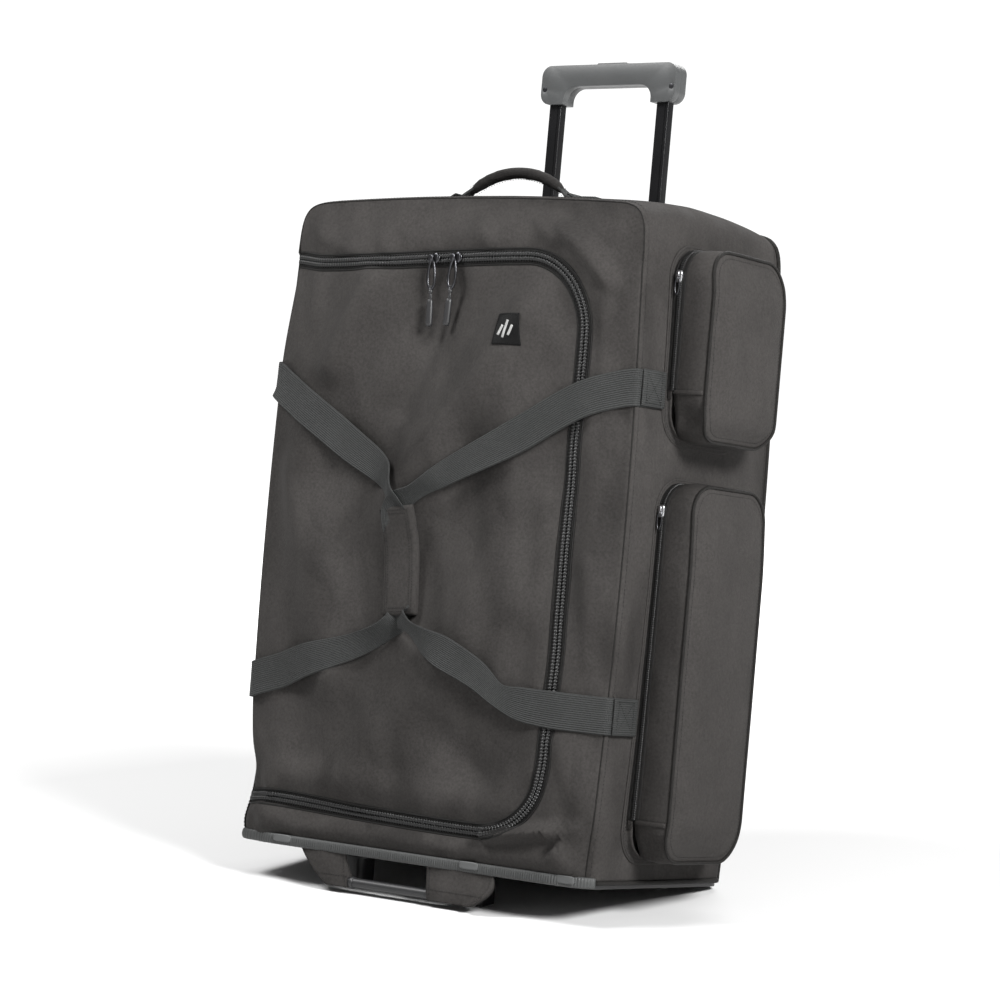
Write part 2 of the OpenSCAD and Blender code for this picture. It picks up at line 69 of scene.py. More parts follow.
HALF_W = 0.235
HALF_D = 0.135
TOP = 0.730
TOP_R = 0.060
TRAY_R = 0.025
LID_RIGHT = 0.175
LID_TOP = 0.665
LID_BOTTOM = 0.050
LID_R = 0.078
WEB_W = 0.040
WEB_T = 0.0022
WEB_TOP_Z = 0.534
WEB_LOW_Z = 0.184
WRAP_W = 0.050
WRAP_Z = 0.270
WRAP_LEN = 0.120
POCKET_Y = -0.010
POCKET_W = 0.142
POCKET_R = 0.032
POCKET_OUT = 0.057
POCKET_BASE = 0.011
UPPER_POCKET = (0.484, 0.204)
LOWER_POCKET = (0.034, 0.402)
WHEEL_Y = 0.092
AXLE_Z = 0.025

# ---- the bag's frame in the world -----------------------------------------------

JOINT = {j["name"]: j for j in frame["joints"]}
UP = Vector(JOINT["trolley_slide"]["axis"])
BACK = Vector((0, UP.z, -UP.y))
AXLE = (Vector(JOINT["wheel_left_spin"]["pos_m"]) + Vector(JOINT["wheel_right_spin"]["pos_m"])) / 2
ORIGIN = AXLE - BACK * WHEEL_Y - UP * AXLE_Z
AXES = np.array([(1, 0, 0), tuple(BACK), tuple(UP)])


def world(points):
    """Points of the bag's frame, in the shared frame."""
    return np.asarray(points, float).reshape(-1, 3) @ AXES + np.array(ORIGIN)


def at(x, y, z):
    return Vector(world([(x, y, z)])[0])


# ---- mesh helpers -------------------------------------------------------------------


def add_object(name, verts, faces, material, body, uvs=None, inner=None, middle=None):
    """A mesh piece given in the bag's frame. uvs are one pair for each vertex. Closed pieces get
    outward faces; an open sheet faces away from the point middle."""
    mesh = bpy.data.meshes.new(name)
    mesh.from_pydata(world(verts).tolist(), [], [tuple(int(i) for i in f) for f in faces])
    if uvs is not None:
        layer = mesh.uv_layers.new(name="UVMap")
        loops = np.zeros(len(mesh.loops), int)
        mesh.loops.foreach_get("vertex_index", loops)
        layer.data.foreach_set("uv", np.asarray(uvs, float)[loops].ravel())
    if middle is None:
        shape = bmesh.new()
        shape.from_mesh(mesh)
        bmesh.ops.recalc_face_normals(shape, faces=shape.faces)
        shape.to_mesh(mesh)
        shape.free()
    else:
        centre = at(*middle)
        if sum(f.normal.dot(f.center - centre) * f.area for f in mesh.polygons) < 0:
            mesh.flip_normals()
    mesh.polygons.foreach_set("use_smooth", [True] * len(mesh.polygons))
    mesh.materials.append(material)
    if inner:
        mesh.materials.append(inner)
    obj = bpy.data.objects.new(name, mesh)
    bpy.context.scene.collection.objects.link(obj)
    if body:
        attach(obj, body)
    return obj


def grid_faces(nu, nv, close_u=False, close_v=False, flip=False):
    """Quads over a grid of nu rows of nv points."""
    faces = []
    for i in range(nu if close_u else nu - 1):
        for j in range(nv if close_v else nv - 1):
            row, next_row, k = i * nv, (i + 1) % nu * nv, (j + 1) % nv
            a, b, c, d = row + j, row + k, next_row + k, next_row + j
            faces.append((a, d, c, b) if flip else (a, b, c, d))
    return faces


class Parts:
    """Collects many small solids into one mesh."""

    def __init__(self):
        self.verts, self.faces, self.uvs = [], [], []

    def add(self, verts, faces, uvs=None):
        base = len(self.verts)
        self.verts.extend(map(tuple, np.asarray(verts, float)))
        self.faces.extend(tuple(base + i for i in f) for f in faces)
        self.uvs.extend(map(tuple, uvs if uvs is not None else [(0.0, 0.0)] * len(verts)))

    def build(self, name, material, body):
        return add_object(name, self.verts, self.faces, material, body, self.uvs)


def unit(v):
    v = np.asarray(v, float)
    return v / np.maximum(np.linalg.norm(v, axis=-1, keepdims=True), 1e-12)


def facing(points, x, y, z):
    """The same normal for each of points."""
    return np.repeat([(float(x), float(y), float(z))], len(points), 0)


def distances(points):
    """How far along a polyline each of its points is."""
    return np.concatenate([[0], np.cumsum(np.linalg.norm(np.diff(points, axis=0), axis=1))])


def resample(points, count=None, step=None, closed=False):
    """Evenly spaced points along a polyline."""
    p = np.asarray(points, float)
    if closed:
        p = np.vstack([p, p[:1]])
    s = distances(p)
    if count is None:
        count = max(2, int(round(s[-1] / step)) + 1)
    t = np.linspace(0, s[-1], count + (1 if closed else 0))
    out = np.stack([np.interp(t, s, p[:, k]) for k in range(p.shape[1])], 1)
    return out[:-1] if closed else out


def smooth_path(points, step=0.004):
    """A Catmull-Rom curve through points, evenly spaced."""
    p = np.asarray(points, float)
    q = np.vstack([2 * p[0] - p[1], p, 2 * p[-1] - p[-2]])
    out = []
    for i in range(1, len(q) - 2):
        a, b, c, d = q[i - 1], q[i], q[i + 1], q[i + 2]
        for t in np.linspace(0, 1, 16, endpoint=False):
            out.append(0.5 * (2 * b + (c - a) * t + (2 * a - 5 * b + 4 * c - d) * t * t
                              + (3 * b - a - 3 * c + d) * t ** 3))
    out.append(p[-1])
    return resample(out, step=step)


def tangents(p, closed=False):
    if closed:
        return unit(np.roll(p, -1, 0) - np.roll(p, 1, 0))
    return unit(np.gradient(p, axis=0))


def sweep(points, normals, section, closed=False, scale=None):
    """Sweeps a closed section (across, out) along points; scale narrows it across.
    Returns verts, faces, uvs."""
    p, n = np.asarray(points, float), unit(normals)
    t = tangents(p, closed)
    side = unit(np.cross(t, n))
    n = unit(np.cross(side, t))
    sec = np.asarray(section, float)
    k = len(sec)
    if scale is None:
        scale = np.ones(len(p))
    verts = (p[:, None] + side[:, None] * sec[None, :, :1] * scale[:, None, None]
             + n[:, None] * sec[None, :, 1:]).reshape(-1, 3)
    faces = grid_faces(len(p), k, closed, True)
    if not closed:
        faces += [tuple(range(k))[::-1], tuple((len(p) - 1) * k + j for j in range(k))]
    uvs = np.stack([np.tile(distances(sec), len(p)), np.repeat(distances(p), k)], 1)
    return verts, faces, uvs


def circle_section(r, sides=10, squash=1.0):
    a = np.linspace(0, 2 * math.pi, sides, endpoint=False)
    return np.stack([r * np.cos(a), r * squash * np.sin(a)], 1)


def strip_section(width, thick, ribs=0, rib_h=0.0):
    """Section of a woven strip: lengthwise ribs on both faces, round edges."""
    count = max(2, ribs * 4)
    x = np.linspace(-width / 2, width / 2, count + 1)
    ripple = rib_h * np.cos(np.linspace(0, ribs * 2 * math.pi, count + 1)) if ribs else np.zeros(count + 1)
    edge = np.clip((width / 2 - np.abs(x)) / (thick * 0.6), 0, 1) ** 0.5
    upper = np.stack([x, (thick / 2) * (0.35 + 0.65 * edge) - ripple], 1)
    lower = np.stack([x[::-1], -(thick / 2) * (0.35 + 0.65 * edge[::-1])], 1)
    return np.vstack([upper, lower])[::-1]


def stitches(parts, points, normals, pitch=0.0042, length=0.0029, r=0.00042):
    """Top-stitching: one small lozenge of thread for each stitch along points."""
    p = np.asarray(points, float)
    count = max(2, int(distances(p)[-1] / pitch))
    c = resample(p, count)
    nn = resample(np.hstack([p, np.asarray(normals, float)]), count)[:, 3:]
    t, nn = tangents(c), unit(nn)
    side = unit(np.cross(t, nn))
    for i in range(count):
        verts = [c[i] - t[i] * length / 2, c[i] + t[i] * length / 2]
        for a, b in ((1, 0), (0, 1), (-1, 0), (0, -1)):
            verts.append(c[i] + side[i] * a * r + nn[i] * b * r)
        parts.add(verts, [(0, 3, 2), (0, 4, 3), (0, 5, 4), (0, 2, 5),
                          (1, 2, 3), (1, 3, 4), (1, 4, 5), (1, 5, 2)])


FINE_THREAD = dict(pitch=0.0036, length=0.0026, r=0.0004)
CLOSE_THREAD = dict(pitch=0.0030, length=0.0022, r=0.0004)


def wave_noise(x, y, z, scale, seed=0.0):
    """Smooth noise from -1 to 1 at points given as arrays."""
    flat = np.stack(np.broadcast_arrays(x, y, z), -1).reshape(-1, 3) / scale
    values = [noise.noise(Vector((float(a) + seed, float(b) - seed, float(c) + 2 * seed)))
              for a, b, c in flat]
    return np.array(values).reshape(np.broadcast(x, y, z).shape)


def ease(t):
    """A smooth step from 0 to 1 as t goes from 0 to 1."""
    t = np.clip(t, 0, 1)
    return t * t * (3 - 2 * t)


def hump(t):
    """A smooth hump: 1 at t = 0, fading on both sides by about t = 2."""
    return np.exp(-np.square(t))


# ---- materials ---------------------------------------------------------------------------


class Shader:
    """A Principled material with short helpers for its nodes."""

    def __init__(self, name, roughness, metallic=0.0, specular=0.5, sheen=0.0):
        self.material = bpy.data.materials.new(name)
        self.material.use_nodes = True
        self.tree = self.material.node_tree
        self.bsdf = self.tree.nodes["Principled BSDF"]
        for socket, value in (("Roughness", roughness), ("Metallic", metallic),
                              ("Specular IOR Level", specular), ("Sheen Weight", sheen)):
            self.bsdf.inputs[socket].default_value = value

    def add(self, kind, **inputs):
        props = inputs.pop("props", {})
        n = self.tree.nodes.new(kind)
        for key, value in props.items():
            setattr(n, key, value)
        for key, value in inputs.items():
            socket = n.inputs[key.replace("_", " ")] if not key[1:].isdigit() else n.inputs[int(key[1:])]
            if isinstance(value, bpy.types.NodeSocket):
                self.tree.links.new(value, socket)
            else:
                socket.default_value = value
        return n

    def math(self, op, a, b=0.0):
        return self.add("ShaderNodeMath", props={"operation": op}, i0=a, i1=b).outputs[0]

    def stretched(self, where, scale, turn=0.0):
        """A position scaled along each axis and turned about Y."""
        return self.add("ShaderNodeMapping", Vector=where, Rotation=(0.0, turn, 0.0), Scale=scale).outputs[0]

    def noise(self, where, scale, detail=3.0, rough=0.55):
        return self.add("ShaderNodeTexNoise", Vector=where, Scale=scale, Detail=detail,
                        Roughness=rough).outputs["Fac"]

    def position(self):
        return self.add("ShaderNodeTexCoord").outputs["Object"]

    def uv(self):
        return self.add("ShaderNodeTexCoord").outputs["UV"]

    def ramp(self, value, low, high, dark, light):
        """Colour from dark to light as value goes from low to high."""
        n = self.add("ShaderNodeValToRGB", Fac=value)
        n.color_ramp.elements[0].position, n.color_ramp.elements[1].position = low, high
        n.color_ramp.elements[0].color = (*dark, 1)
        n.color_ramp.elements[1].color = (*light, 1)
        return n.outputs["Color"]

    def shade(self, base, value, low, high, dark):
        """Base colour times a grey that goes from dark to white as value goes from low to high."""
        n = self.add("ShaderNodeMix", props={"data_type": "RGBA", "blend_type": "MULTIPLY"}, i0=1.0)
        self.tree.links.new(base, n.inputs[6])
        self.tree.links.new(self.ramp(value, low, high, (dark,) * 3, (1.0,) * 3), n.inputs[7])
        return n.outputs[2]

    def color(self, socket):
        self.tree.links.new(socket, self.bsdf.inputs["Base Color"])

    def roughness(self, value, low, high):
        n = self.add("ShaderNodeMapRange", Value=value, To_Min=low, To_Max=high)
        self.tree.links.new(n.outputs[0], self.bsdf.inputs["Roughness"])

    def bump(self, height, strength, distance, below=None):
        n = self.add("ShaderNodeBump", Height=height, Strength=strength, Distance=distance)
        if below is not None:
            self.tree.links.new(below, n.inputs["Normal"])
        self.tree.links.new(n.outputs[0], self.bsdf.inputs["Normal"])
        return n.outputs[0]


def scaled(color, k):
    return tuple(c * k for c in color)


def woven(name, color, pitch=0.0008, roughness=0.82, sheen=0.0, patchy=0.16, folds=0.0):
    """Plain-weave polyester: crossed threads with painted shade in the low points of the weave, heathered
    yarn, faint wear and soft folds.
    """
    s = Shader(name, roughness, specular=0.10, sheen=sheen)
    where = s.position()
    parts = s.add("ShaderNodeSeparateXYZ", Vector=where).outputs
    across = s.math("ADD", parts[0], parts[1])
    along = s.math("SUBTRACT", parts[2], s.math("MULTIPLY", parts[1], 0.4))
    turn = 2 * math.pi / pitch
    warp = s.math("SINE", s.math("MULTIPLY", across, turn))
    weft = s.math("SINE", s.math("MULTIPLY", along, turn))
    weave = s.math("MULTIPLY", warp, weft)
    fine = s.noise(where, 900.0, 2.0)
    yarn = s.noise(where, 330.0, 3.0, 0.7)
    cloud = s.noise(where, 9.0, 4.0)
    wear = s.noise(where, 38.0, 5.0, 0.65)
    base = s.ramp(yarn, 0.30, 0.72, scaled(color, 0.80), scaled(color, 1.22))
    # painted shade: the colour darkens where the weave is low, the same weave field that the bump below
    # raises and lowers
    base = s.shade(base, weave, 0.0, 1.0, 0.84)
    base = s.shade(base, cloud, 0.30, 0.72, 1 - patchy)
    s.color(s.shade(base, wear, 0.35, 0.62, 0.90))
    s.roughness(wear, roughness - 0.08, min(1.0, roughness + 0.1))
    height = s.math("ADD", s.math("MULTIPLY", weave, 0.5), s.math("MULTIPLY", fine, 0.8))
    creases = s.bump(s.noise(where, 22.0, 4.0, 0.6), 0.28, 0.004)
    if folds:
        slant = s.stretched(where, (1.0, 1.0, 0.55), turn=0.6)
        swell = s.noise(slant, 8.5, 1.5, 0.45)
        crest = s.math("ABSOLUTE", s.math("SUBTRACT", s.noise(slant, 13.0, 1.0, 0.4), 0.5))
        broad = s.bump(swell, folds, 0.100, below=creases)
        creases = s.bump(crest, 0.4 * folds, 0.024, below=broad)
    s.bump(height, 0.45, 0.00035, below=creases)
    return s.material


def webbing_cloth(name, color, ribs=13.0, width=WEB_W):
    """Ribbed strap weave, with painted shade in the grooves between the ribs; the piece's UVs run across and
    along the strap in metres.
    """
    s = Shader(name, 0.62, specular=0.15)
    parts = s.add("ShaderNodeSeparateXYZ", Vector=s.uv()).outputs
    across = s.math("SINE", s.math("MULTIPLY", parts[0], 2 * math.pi * ribs / width))
    along = s.math("SINE", s.math("ADD", s.math("MULTIPLY", parts[1], 2 * math.pi / 0.0016),
                                  s.math("MULTIPLY", across, 1.6)))
    where = s.position()
    fuzz = s.noise(where, 600.0, 2.0)
    cloud = s.noise(where, 26.0, 4.0)
    # painted shade: the colour darkens in the rib grooves that the bump below cuts, mixed with random fibre
    # tone from fuzz
    base = s.ramp(s.math("ADD", s.math("MULTIPLY", across, 0.3), fuzz), 0.15, 0.85,
                  scaled(color, 0.62), scaled(color, 1.3))
    s.color(s.shade(base, cloud, 0.3, 0.7, 0.82))
    s.roughness(cloud, 0.52, 0.74)
    ribbed = s.bump(across, 0.55, 0.0005)
    s.bump(s.math("ADD", along, fuzz), 0.4, 0.0003, below=ribbed)
    return s.material


def moulded(name, color, roughness, grain=420.0, depth=0.0002, specular=0.5):
    """Textured moulded plastic: fine spark grain, faint scuffs."""
    s = Shader(name, roughness, specular=specular)
    where = s.position()
    pits = s.noise(where, grain, 2.0)
    cloud = s.noise(where, 18.0, 4.0)
    scratch = s.noise(s.stretched(where, (40.0, 300.0, 12.0)), 4.0, 5.0, 0.7)
    base = s.ramp(cloud, 0.3, 0.7, scaled(color, 0.86), scaled(color, 1.08))
    s.color(s.shade(base, s.math("SUBTRACT", 1.0, scratch), 0.30, 0.48, 0.88))
    s.roughness(scratch, roughness - 0.06, roughness + 0.12)
    s.bump(pits, 0.35, depth)
    return s.material


def anodised(name, color, roughness):
    """Glossy drawn tube with lengthwise draw lines."""
    s = Shader(name, roughness, specular=0.25)
    where = s.position()
    lines = s.noise(s.stretched(where, (900.0, 900.0, 3.0)), 1.0, 3.0)
    cloud = s.noise(where, 30.0, 3.0)
    s.color(s.ramp(cloud, 0.3, 0.7, scaled(color, 0.8), scaled(color, 1.2)))
    s.roughness(lines, roughness * 0.9, roughness * 1.2)
    s.bump(lines, 0.03, 0.00005)
    return s.material


def metal(name, color, roughness):
    """Brushed or plated metal."""
    s = Shader(name, roughness, metallic=1.0)
    where = s.position()
    brushed = s.noise(s.stretched(where, (60.0, 60.0, 900.0)), 1.0, 4.0)
    cloud = s.noise(where, 45.0, 3.0)
    s.color(s.ramp(cloud, 0.3, 0.7, scaled(color, 0.75), color))
    s.roughness(brushed, roughness * 0.7, roughness * 1.4)
    s.bump(brushed, 0.12, 0.0001)
    return s.material


def rubber(name, color):
    """Wheel rubber, dusty in places."""
    s = Shader(name, 0.7, specular=0.35)
    where = s.position()
    dust = s.noise(where, 55.0, 5.0, 0.7)
    s.color(s.ramp(dust, 0.42, 0.75, color, scaled(color, 3.2)))
    s.roughness(dust, 0.6, 0.9)
    s.bump(s.noise(where, 700.0, 2.0), 0.4, 0.0002)
    return s.material


FABRIC = (0.0455, 0.0424, 0.0406)
M_FABRIC = woven("fabric", FABRIC, folds=1.0)
M_FABRIC_DARK = woven("fabric_dark", scaled(FABRIC, 0.55), roughness=0.85, sheen=0.03)
M_POCKET = woven("pocket_fabric", scaled(FABRIC, 0.94), patchy=0.12, folds=0.3)
M_WRAP = woven("wrap_fabric", scaled(FABRIC, 0.95), pitch=0.0009)
M_LINING = woven("lining", (0.035, 0.036, 0.038), pitch=0.0005, roughness=0.6, sheen=0.02)
M_PIPING = woven("piping_tape", (0.018, 0.017, 0.016), pitch=0.0005, roughness=0.55)
M_THREAD_DARK = woven("thread_dark", (0.016, 0.016, 0.016), pitch=0.0003, roughness=0.6)
M_WEBBING = webbing_cloth("webbing", (0.0335, 0.0345, 0.0340), ribs=17.0)
M_TAPE = webbing_cloth("zip_tape", (0.014, 0.0135, 0.013), ribs=9.0, width=0.014)
M_COIL = moulded("zip_coil", (0.010, 0.010, 0.010), 0.36, specular=0.4)
M_GRIP = moulded("grip_plastic", (0.053, 0.055, 0.0555), 0.42)
M_BLACK = moulded("black_plastic", (0.014, 0.014, 0.015), 0.42)
M_TRIM = moulded("trim_plastic", (0.050, 0.0515, 0.051), 0.5, specular=0.3)
M_CLIP = moulded("clip_plastic", (0.080, 0.082, 0.082), 0.42, specular=0.3)
M_BOARD = moulded("board", (0.018, 0.018, 0.019), 0.55, grain=260.0, depth=0.0004)
M_TUBE = anodised("tube_black", (0.006, 0.006, 0.0065), 0.22)
M_STEEL = metal("steel", (0.62, 0.62, 0.63), 0.28)
M_GUNMETAL = metal("gunmetal", (0.07, 0.07, 0.075), 0.30)
M_RUBBER = rubber("tyre_rubber", (0.012, 0.012, 0.012))
M_PATCH = woven("patch_weave", (0.006, 0.006, 0.006), pitch=0.0005, roughness=0.5)
M_PATCH_MARK = woven("patch_mark", (0.42, 0.42, 0.41), pitch=0.0005, roughness=0.5)


# ---- shape of the soft body ------------------------------------------------------------------

CROWN = 0.005
SQUARE = 4.5                # how square the top corners are: 2 is round
SKIRT_Z = 0.007             # lower edge of the fabric, behind the edge trim
FABRIC_T = 0.0016
MIDDLE = (0.0, 0.0, 0.36)

# soft creases of the front: from (x, z) to (x, z), half width, height
FRONT_CREASES = (
    (-0.215, 0.700, -0.150, 0.678, 0.010, 0.00540), (-0.120, 0.722, -0.105, 0.680, 0.012, 0.00405),
    (0.020, 0.720, 0.045, 0.682, 0.014, 0.00540), (0.120, 0.716, 0.205, 0.640, 0.010, 0.01148),
    (0.090, 0.722, 0.130, 0.684, 0.010, 0.00607), (0.200, 0.620, 0.225, 0.470, 0.012, 0.00473),
    (0.110, 0.046, 0.222, 0.062, 0.007, 0.01620), (0.222, 0.060, 0.190, 0.020, 0.006, 0.01350),
    (0.202, 0.340, 0.216, 0.240, 0.010, 0.00473), (0.190, 0.150, 0.214, 0.090, 0.010, 0.00473),
    (-0.232, 0.115, -0.205, 0.062, 0.010, 0.00675), (-0.236, 0.040, -0.180, 0.030, 0.010, 0.00540),
    (-0.080, 0.100, 0.100, 0.300, 0.036, 0.01620), (-0.200, 0.420, -0.120, 0.200, 0.030, 0.01553),
    (0.100, 0.600, -0.040, 0.400, 0.030, 0.01890), (-0.120, 0.640, -0.160, 0.545, 0.020, 0.01350),
    (-0.010, 0.625, -0.060, 0.500, 0.022, -0.01215), (0.150, 0.400, 0.165, 0.120, 0.020, 0.00607),
    (-0.130, 0.330, -0.060, 0.460, 0.016, -0.00473), (0.020, 0.150, 0.090, 0.110, 0.020, -0.00540),
)


def half_width(z, s=1):
    """Half the bag's width at a height: the sides swell between the tray and the top. On the
    left (s below 0) the fabric is pinched above the lower zip end and bulges under it."""
    swell = 0.011 * np.sin(math.pi * np.clip((z + 0.01) / 0.76, 0, 1))
    left = 0.019 * hump((z - 0.020) / 0.030) - 0.005 * hump((z - 0.085) / 0.020)
    return HALF_W + swell + np.where(np.asarray(s) < 0, left, 0.0)


def edge_distance(x, z):
    """How far a point of the front is inside the bag's outline."""
    side = half_width(z, x) - np.abs(x)
    up = TOP + CROWN * np.clip(1 - (x / 0.2) ** 2, 0, 1) - z
    a, b = np.maximum(TOP_R - side, 0), np.maximum(TOP_R - up, 0)
    corner = TOP_R - (a ** SQUARE + b ** SQUARE) ** (1 / SQUARE)
    near = np.where((side < TOP_R) & (up < TOP_R), corner, np.minimum(side, up))
    return np.minimum(near, z - SKIRT_Z)


def lid_distance(x, z):
    """How far a point of the front is inside the lid's edge."""
    dx, dz = LID_RIGHT - x, np.minimum(LID_TOP - z, z - LID_BOTTOM)
    corner = LID_R - np.hypot(LID_R - dx, LID_R - dz)
    return np.where((dx < LID_R) & (dz < LID_R), corner, np.minimum(dx, dz))


def crease_height(x, z):
    total = np.zeros(np.broadcast(x, z).shape)
    for x0, z0, x1, z1, w, h in FRONT_CREASES:
        along = (x - x0) * (x1 - x0) + (z - z0) * (z1 - z0)
        t = np.clip(along / ((x1 - x0) ** 2 + (z1 - z0) ** 2), 0, 1)
        d = np.hypot(x - x0 - t * (x1 - x0), z - z0 - t * (z1 - z0))
        total += h * hump(d / w)
    return total


def front(x, z, out=0.0):
    """Points of the front face, raised by out. The lid bulges, and the zip lies in a valley."""
    x, z = np.broadcast_arrays(np.asarray(x, float), np.asarray(z, float))
    edge, lid = edge_distance(x, z), lid_distance(x, z)
    inside = ease(edge / 0.05)
    swell = 0.009 * inside + 0.008 * ease(lid / 0.13)
    valley = 0.0028 * hump(lid / 0.009)
    pucker = 0.0032 * wave_noise(x, 0, 0.4 * z, 0.024, 3.0) * hump((lid + 0.022) / 0.016)
    pucker = pucker * ease((z - 0.4) / 0.2)
    rolls = 0.0056 * wave_noise(x, 0, z, 0.15, 7.0) + 0.0011 * wave_noise(x, 0, z, 0.055, 1.0)
    skirt = 0.011 * hump((z - 0.024) / 0.016) * ease((HALF_W - np.abs(x)) / 0.03)
    over = 0.008 * hump((z - LID_BOTTOM - 0.030) / 0.020)
    over = over * ease((0.15 - x) / 0.05) * ease((HALF_W + x) / 0.02)
    y = -HALF_D - (swell - valley + (pucker + rolls + over + crease_height(x, z)) * inside + skirt) - out
    height = np.clip((z - LID_BOTTOM) / (LID_TOP - LID_BOTTOM), 0, 1)
    dx = 0.003 * np.sin(math.pi * height) * ease(x / 0.17)
    dz = (0.005 * np.sin(math.pi * (x + 0.06) / 0.36) * ease((z - 0.5) / 0.16)
          + 0.004 * np.cos(math.pi * (x + 0.235) / 0.30) * ease((0.2 - z) / 0.14))
    return rounded(np.stack([x + dx * inside, y, z + dz * inside], -1))


def gusset_out(x, y, z):
    """How far the gusset stands out of the outline at a point of it."""
    t = np.sin(math.pi * np.clip((y + HALF_D) / (2 * HALF_D), 0, 1))
    soft = 0.0016 * wave_noise(x, y, z, 0.11, 5.0) + 0.0006 * wave_noise(x, y, z, 0.04, 9.0)
    return (0.005 + 0.008 * ease((z - TOP + 0.03) / 0.03)) * t ** 0.55 + soft * t


def side(s, y, z, out=0.0):
    """Points of the left (s = -1) or right (s = 1) side, raised by out."""
    y, z = np.broadcast_arrays(np.asarray(y, float), np.asarray(z, float))
    x = s * half_width(z, s)
    return rounded(np.stack([x + s * (gusset_out(x, y, z) + out), y, z], -1))


def rounded(p):
    """Turns the square corners of the body's plan into the tray's round ones near the base."""
    p = np.array(p, float)
    r = 0.006 + (TRAY_R - 0.006) * ease((0.085 - p[..., 2]) / 0.06)
    qx = np.abs(p[..., 0]) - (half_width(p[..., 2], p[..., 0]) - r)
    qy = np.abs(p[..., 1]) - (HALF_D - r)
    near = (qx > 0) & (qy > 0) & (p[..., 2] < TOP - TOP_R)
    k = np.where(near, np.maximum(qx, qy) / np.maximum(np.hypot(qx, qy), 1e-9), 1.0)
    p[..., 0] = np.where(near, np.sign(p[..., 0]) * (np.abs(p[..., 0]) - qx * (1 - k)), p[..., 0])
    p[..., 1] = np.where(near, np.sign(p[..., 1]) * (np.abs(p[..., 1]) - qy * (1 - k)), p[..., 1])
    return p


def outline_hit(x, z, dx, dz):
    """Where rays from points of the front reach the bag's outline."""
    near, far = np.zeros(len(x)), np.full(len(x), 0.4)
    for _ in range(40):
        mid = (near + far) / 2
        inside = edge_distance(x + mid * dx, z + mid * dz) > 0
        near, far = np.where(inside, mid, near), np.where(inside, far, mid)
    return np.stack([x + near * dx, z + near * dz], 1)


def bag_outline():
    """The outline seen from the front: up the left side, over the top and down the right."""
    x0, z1 = 0.15, 0.60
    up = np.linspace(SKIRT_Z + 1e-4, z1, 120)
    turn = np.linspace(math.pi, math.pi / 2, 40)[1:-1]
    over = np.linspace(-x0, x0, 80)
    rays = [(-x0 + 0 * up, up, -1 + 0 * up, 0 * up),
            (-x0 + 0 * turn, z1 + 0 * turn, np.cos(turn), np.sin(turn)),
            (over, z1 + 0 * over, 0 * over, 1 + 0 * over),
            (x0 + 0 * turn, z1 + 0 * turn, -np.cos(turn[::-1]), np.sin(turn[::-1])),
            (x0 + 0 * up, up[::-1], 1 + 0 * up, 0 * up)]
    return resample(np.vstack([outline_hit(*r) for r in rays]), step=0.004)


def lid_path(out=0.0, step=0.004, inset=0.001):
    """The lid's edge, out of it by out: along the top, down the right and back along the bottom.
    Returns points (x, z) and the outward directions."""
    r, a = LID_R + out, np.linspace(0, math.pi / 2, 30)
    cx, top, low = LID_RIGHT - LID_R, LID_TOP - LID_R, LID_BOTTOM + LID_R
    left_top, left_low = -half_width(LID_TOP + out, -1) + inset, -half_width(LID_BOTTOM - out, -1) + inset
    pts = np.vstack([[(left_top, LID_TOP + out)],
                     np.stack([cx + r * np.sin(a), top + r * np.cos(a)], 1),
                     np.stack([cx + r * np.cos(a), low - r * np.sin(a)], 1),
                     [(left_low, LID_BOTTOM - out)]])
    pts = resample(pts, step=step)
    t = tangents(pts)
    return pts, np.stack([-t[:, 1], t[:, 0]], 1)


def on_front(pts, out):
    return front(pts[:, 0], pts[:, 1], out).reshape(-1, 3)


def front_normals(points):
    return facing(points, 0, -1, 0)


# ---- fabric panels -----------------------------------------------------------------------------


def thicken(obj, t=FABRIC_T):
    """Gives a sheet its thickness towards the inside, with lining there."""
    m = obj.modifiers.new("thickness", "SOLIDIFY")
    m.thickness, m.offset, m.use_even_offset = t, -1.0, False
    m.material_offset = m.material_offset_rim = 1 if len(obj.data.materials) > 1 else 0
    return obj


OUTLINE = bag_outline()
OUT_T = tangents(OUTLINE)
OUT_N = np.stack([-OUT_T[:, 1], OUT_T[:, 0]], 1)


def gusset_points(y, out=0.0):
    """Points of the gusset along the whole outline at depth y."""
    y = np.full(len(OUTLINE), float(y))
    o = gusset_out(OUTLINE[:, 0], y, OUTLINE[:, 1]) + out
    p = np.stack([OUTLINE[:, 0] + OUT_N[:, 0] * o, y, OUTLINE[:, 1] + OUT_N[:, 1] * o], 1)
    return rounded(p)


def make_gusset():
    ys = -HALF_D * np.cos(np.linspace(0, math.pi, 60))
    verts = np.stack([gusset_points(y) for y in ys], 1).reshape(-1, 3)
    obj = add_object("gusset", verts, grid_faces(len(OUTLINE), len(ys)), M_FABRIC, "root",
                     inner=M_LINING, middle=MIDDLE)
    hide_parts("side_panel_left", "side_panel_right", "top_panel")
    return thicken(obj)


def make_front_panel():
    """The fixed part of the front: above, beside and below the lid."""
    inner, n = lid_path(0.0008, 0.0035)
    outer = outline_hit(inner[:, 0], inner[:, 1], n[:, 0], n[:, 1])
    t = ease(np.linspace(0, 1, 26))
    x = inner[:, 0, None] + (outer[:, 0] - inner[:, 0])[:, None] * t
    z = inner[:, 1, None] + (outer[:, 1] - inner[:, 1])[:, None] * t
    obj = add_object("front_panel", front(x, z).reshape(-1, 3), grid_faces(len(inner), len(t)), M_FABRIC,
                     "root", inner=M_LINING, middle=MIDDLE)
    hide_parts("front_frame")
    return thicken(obj)


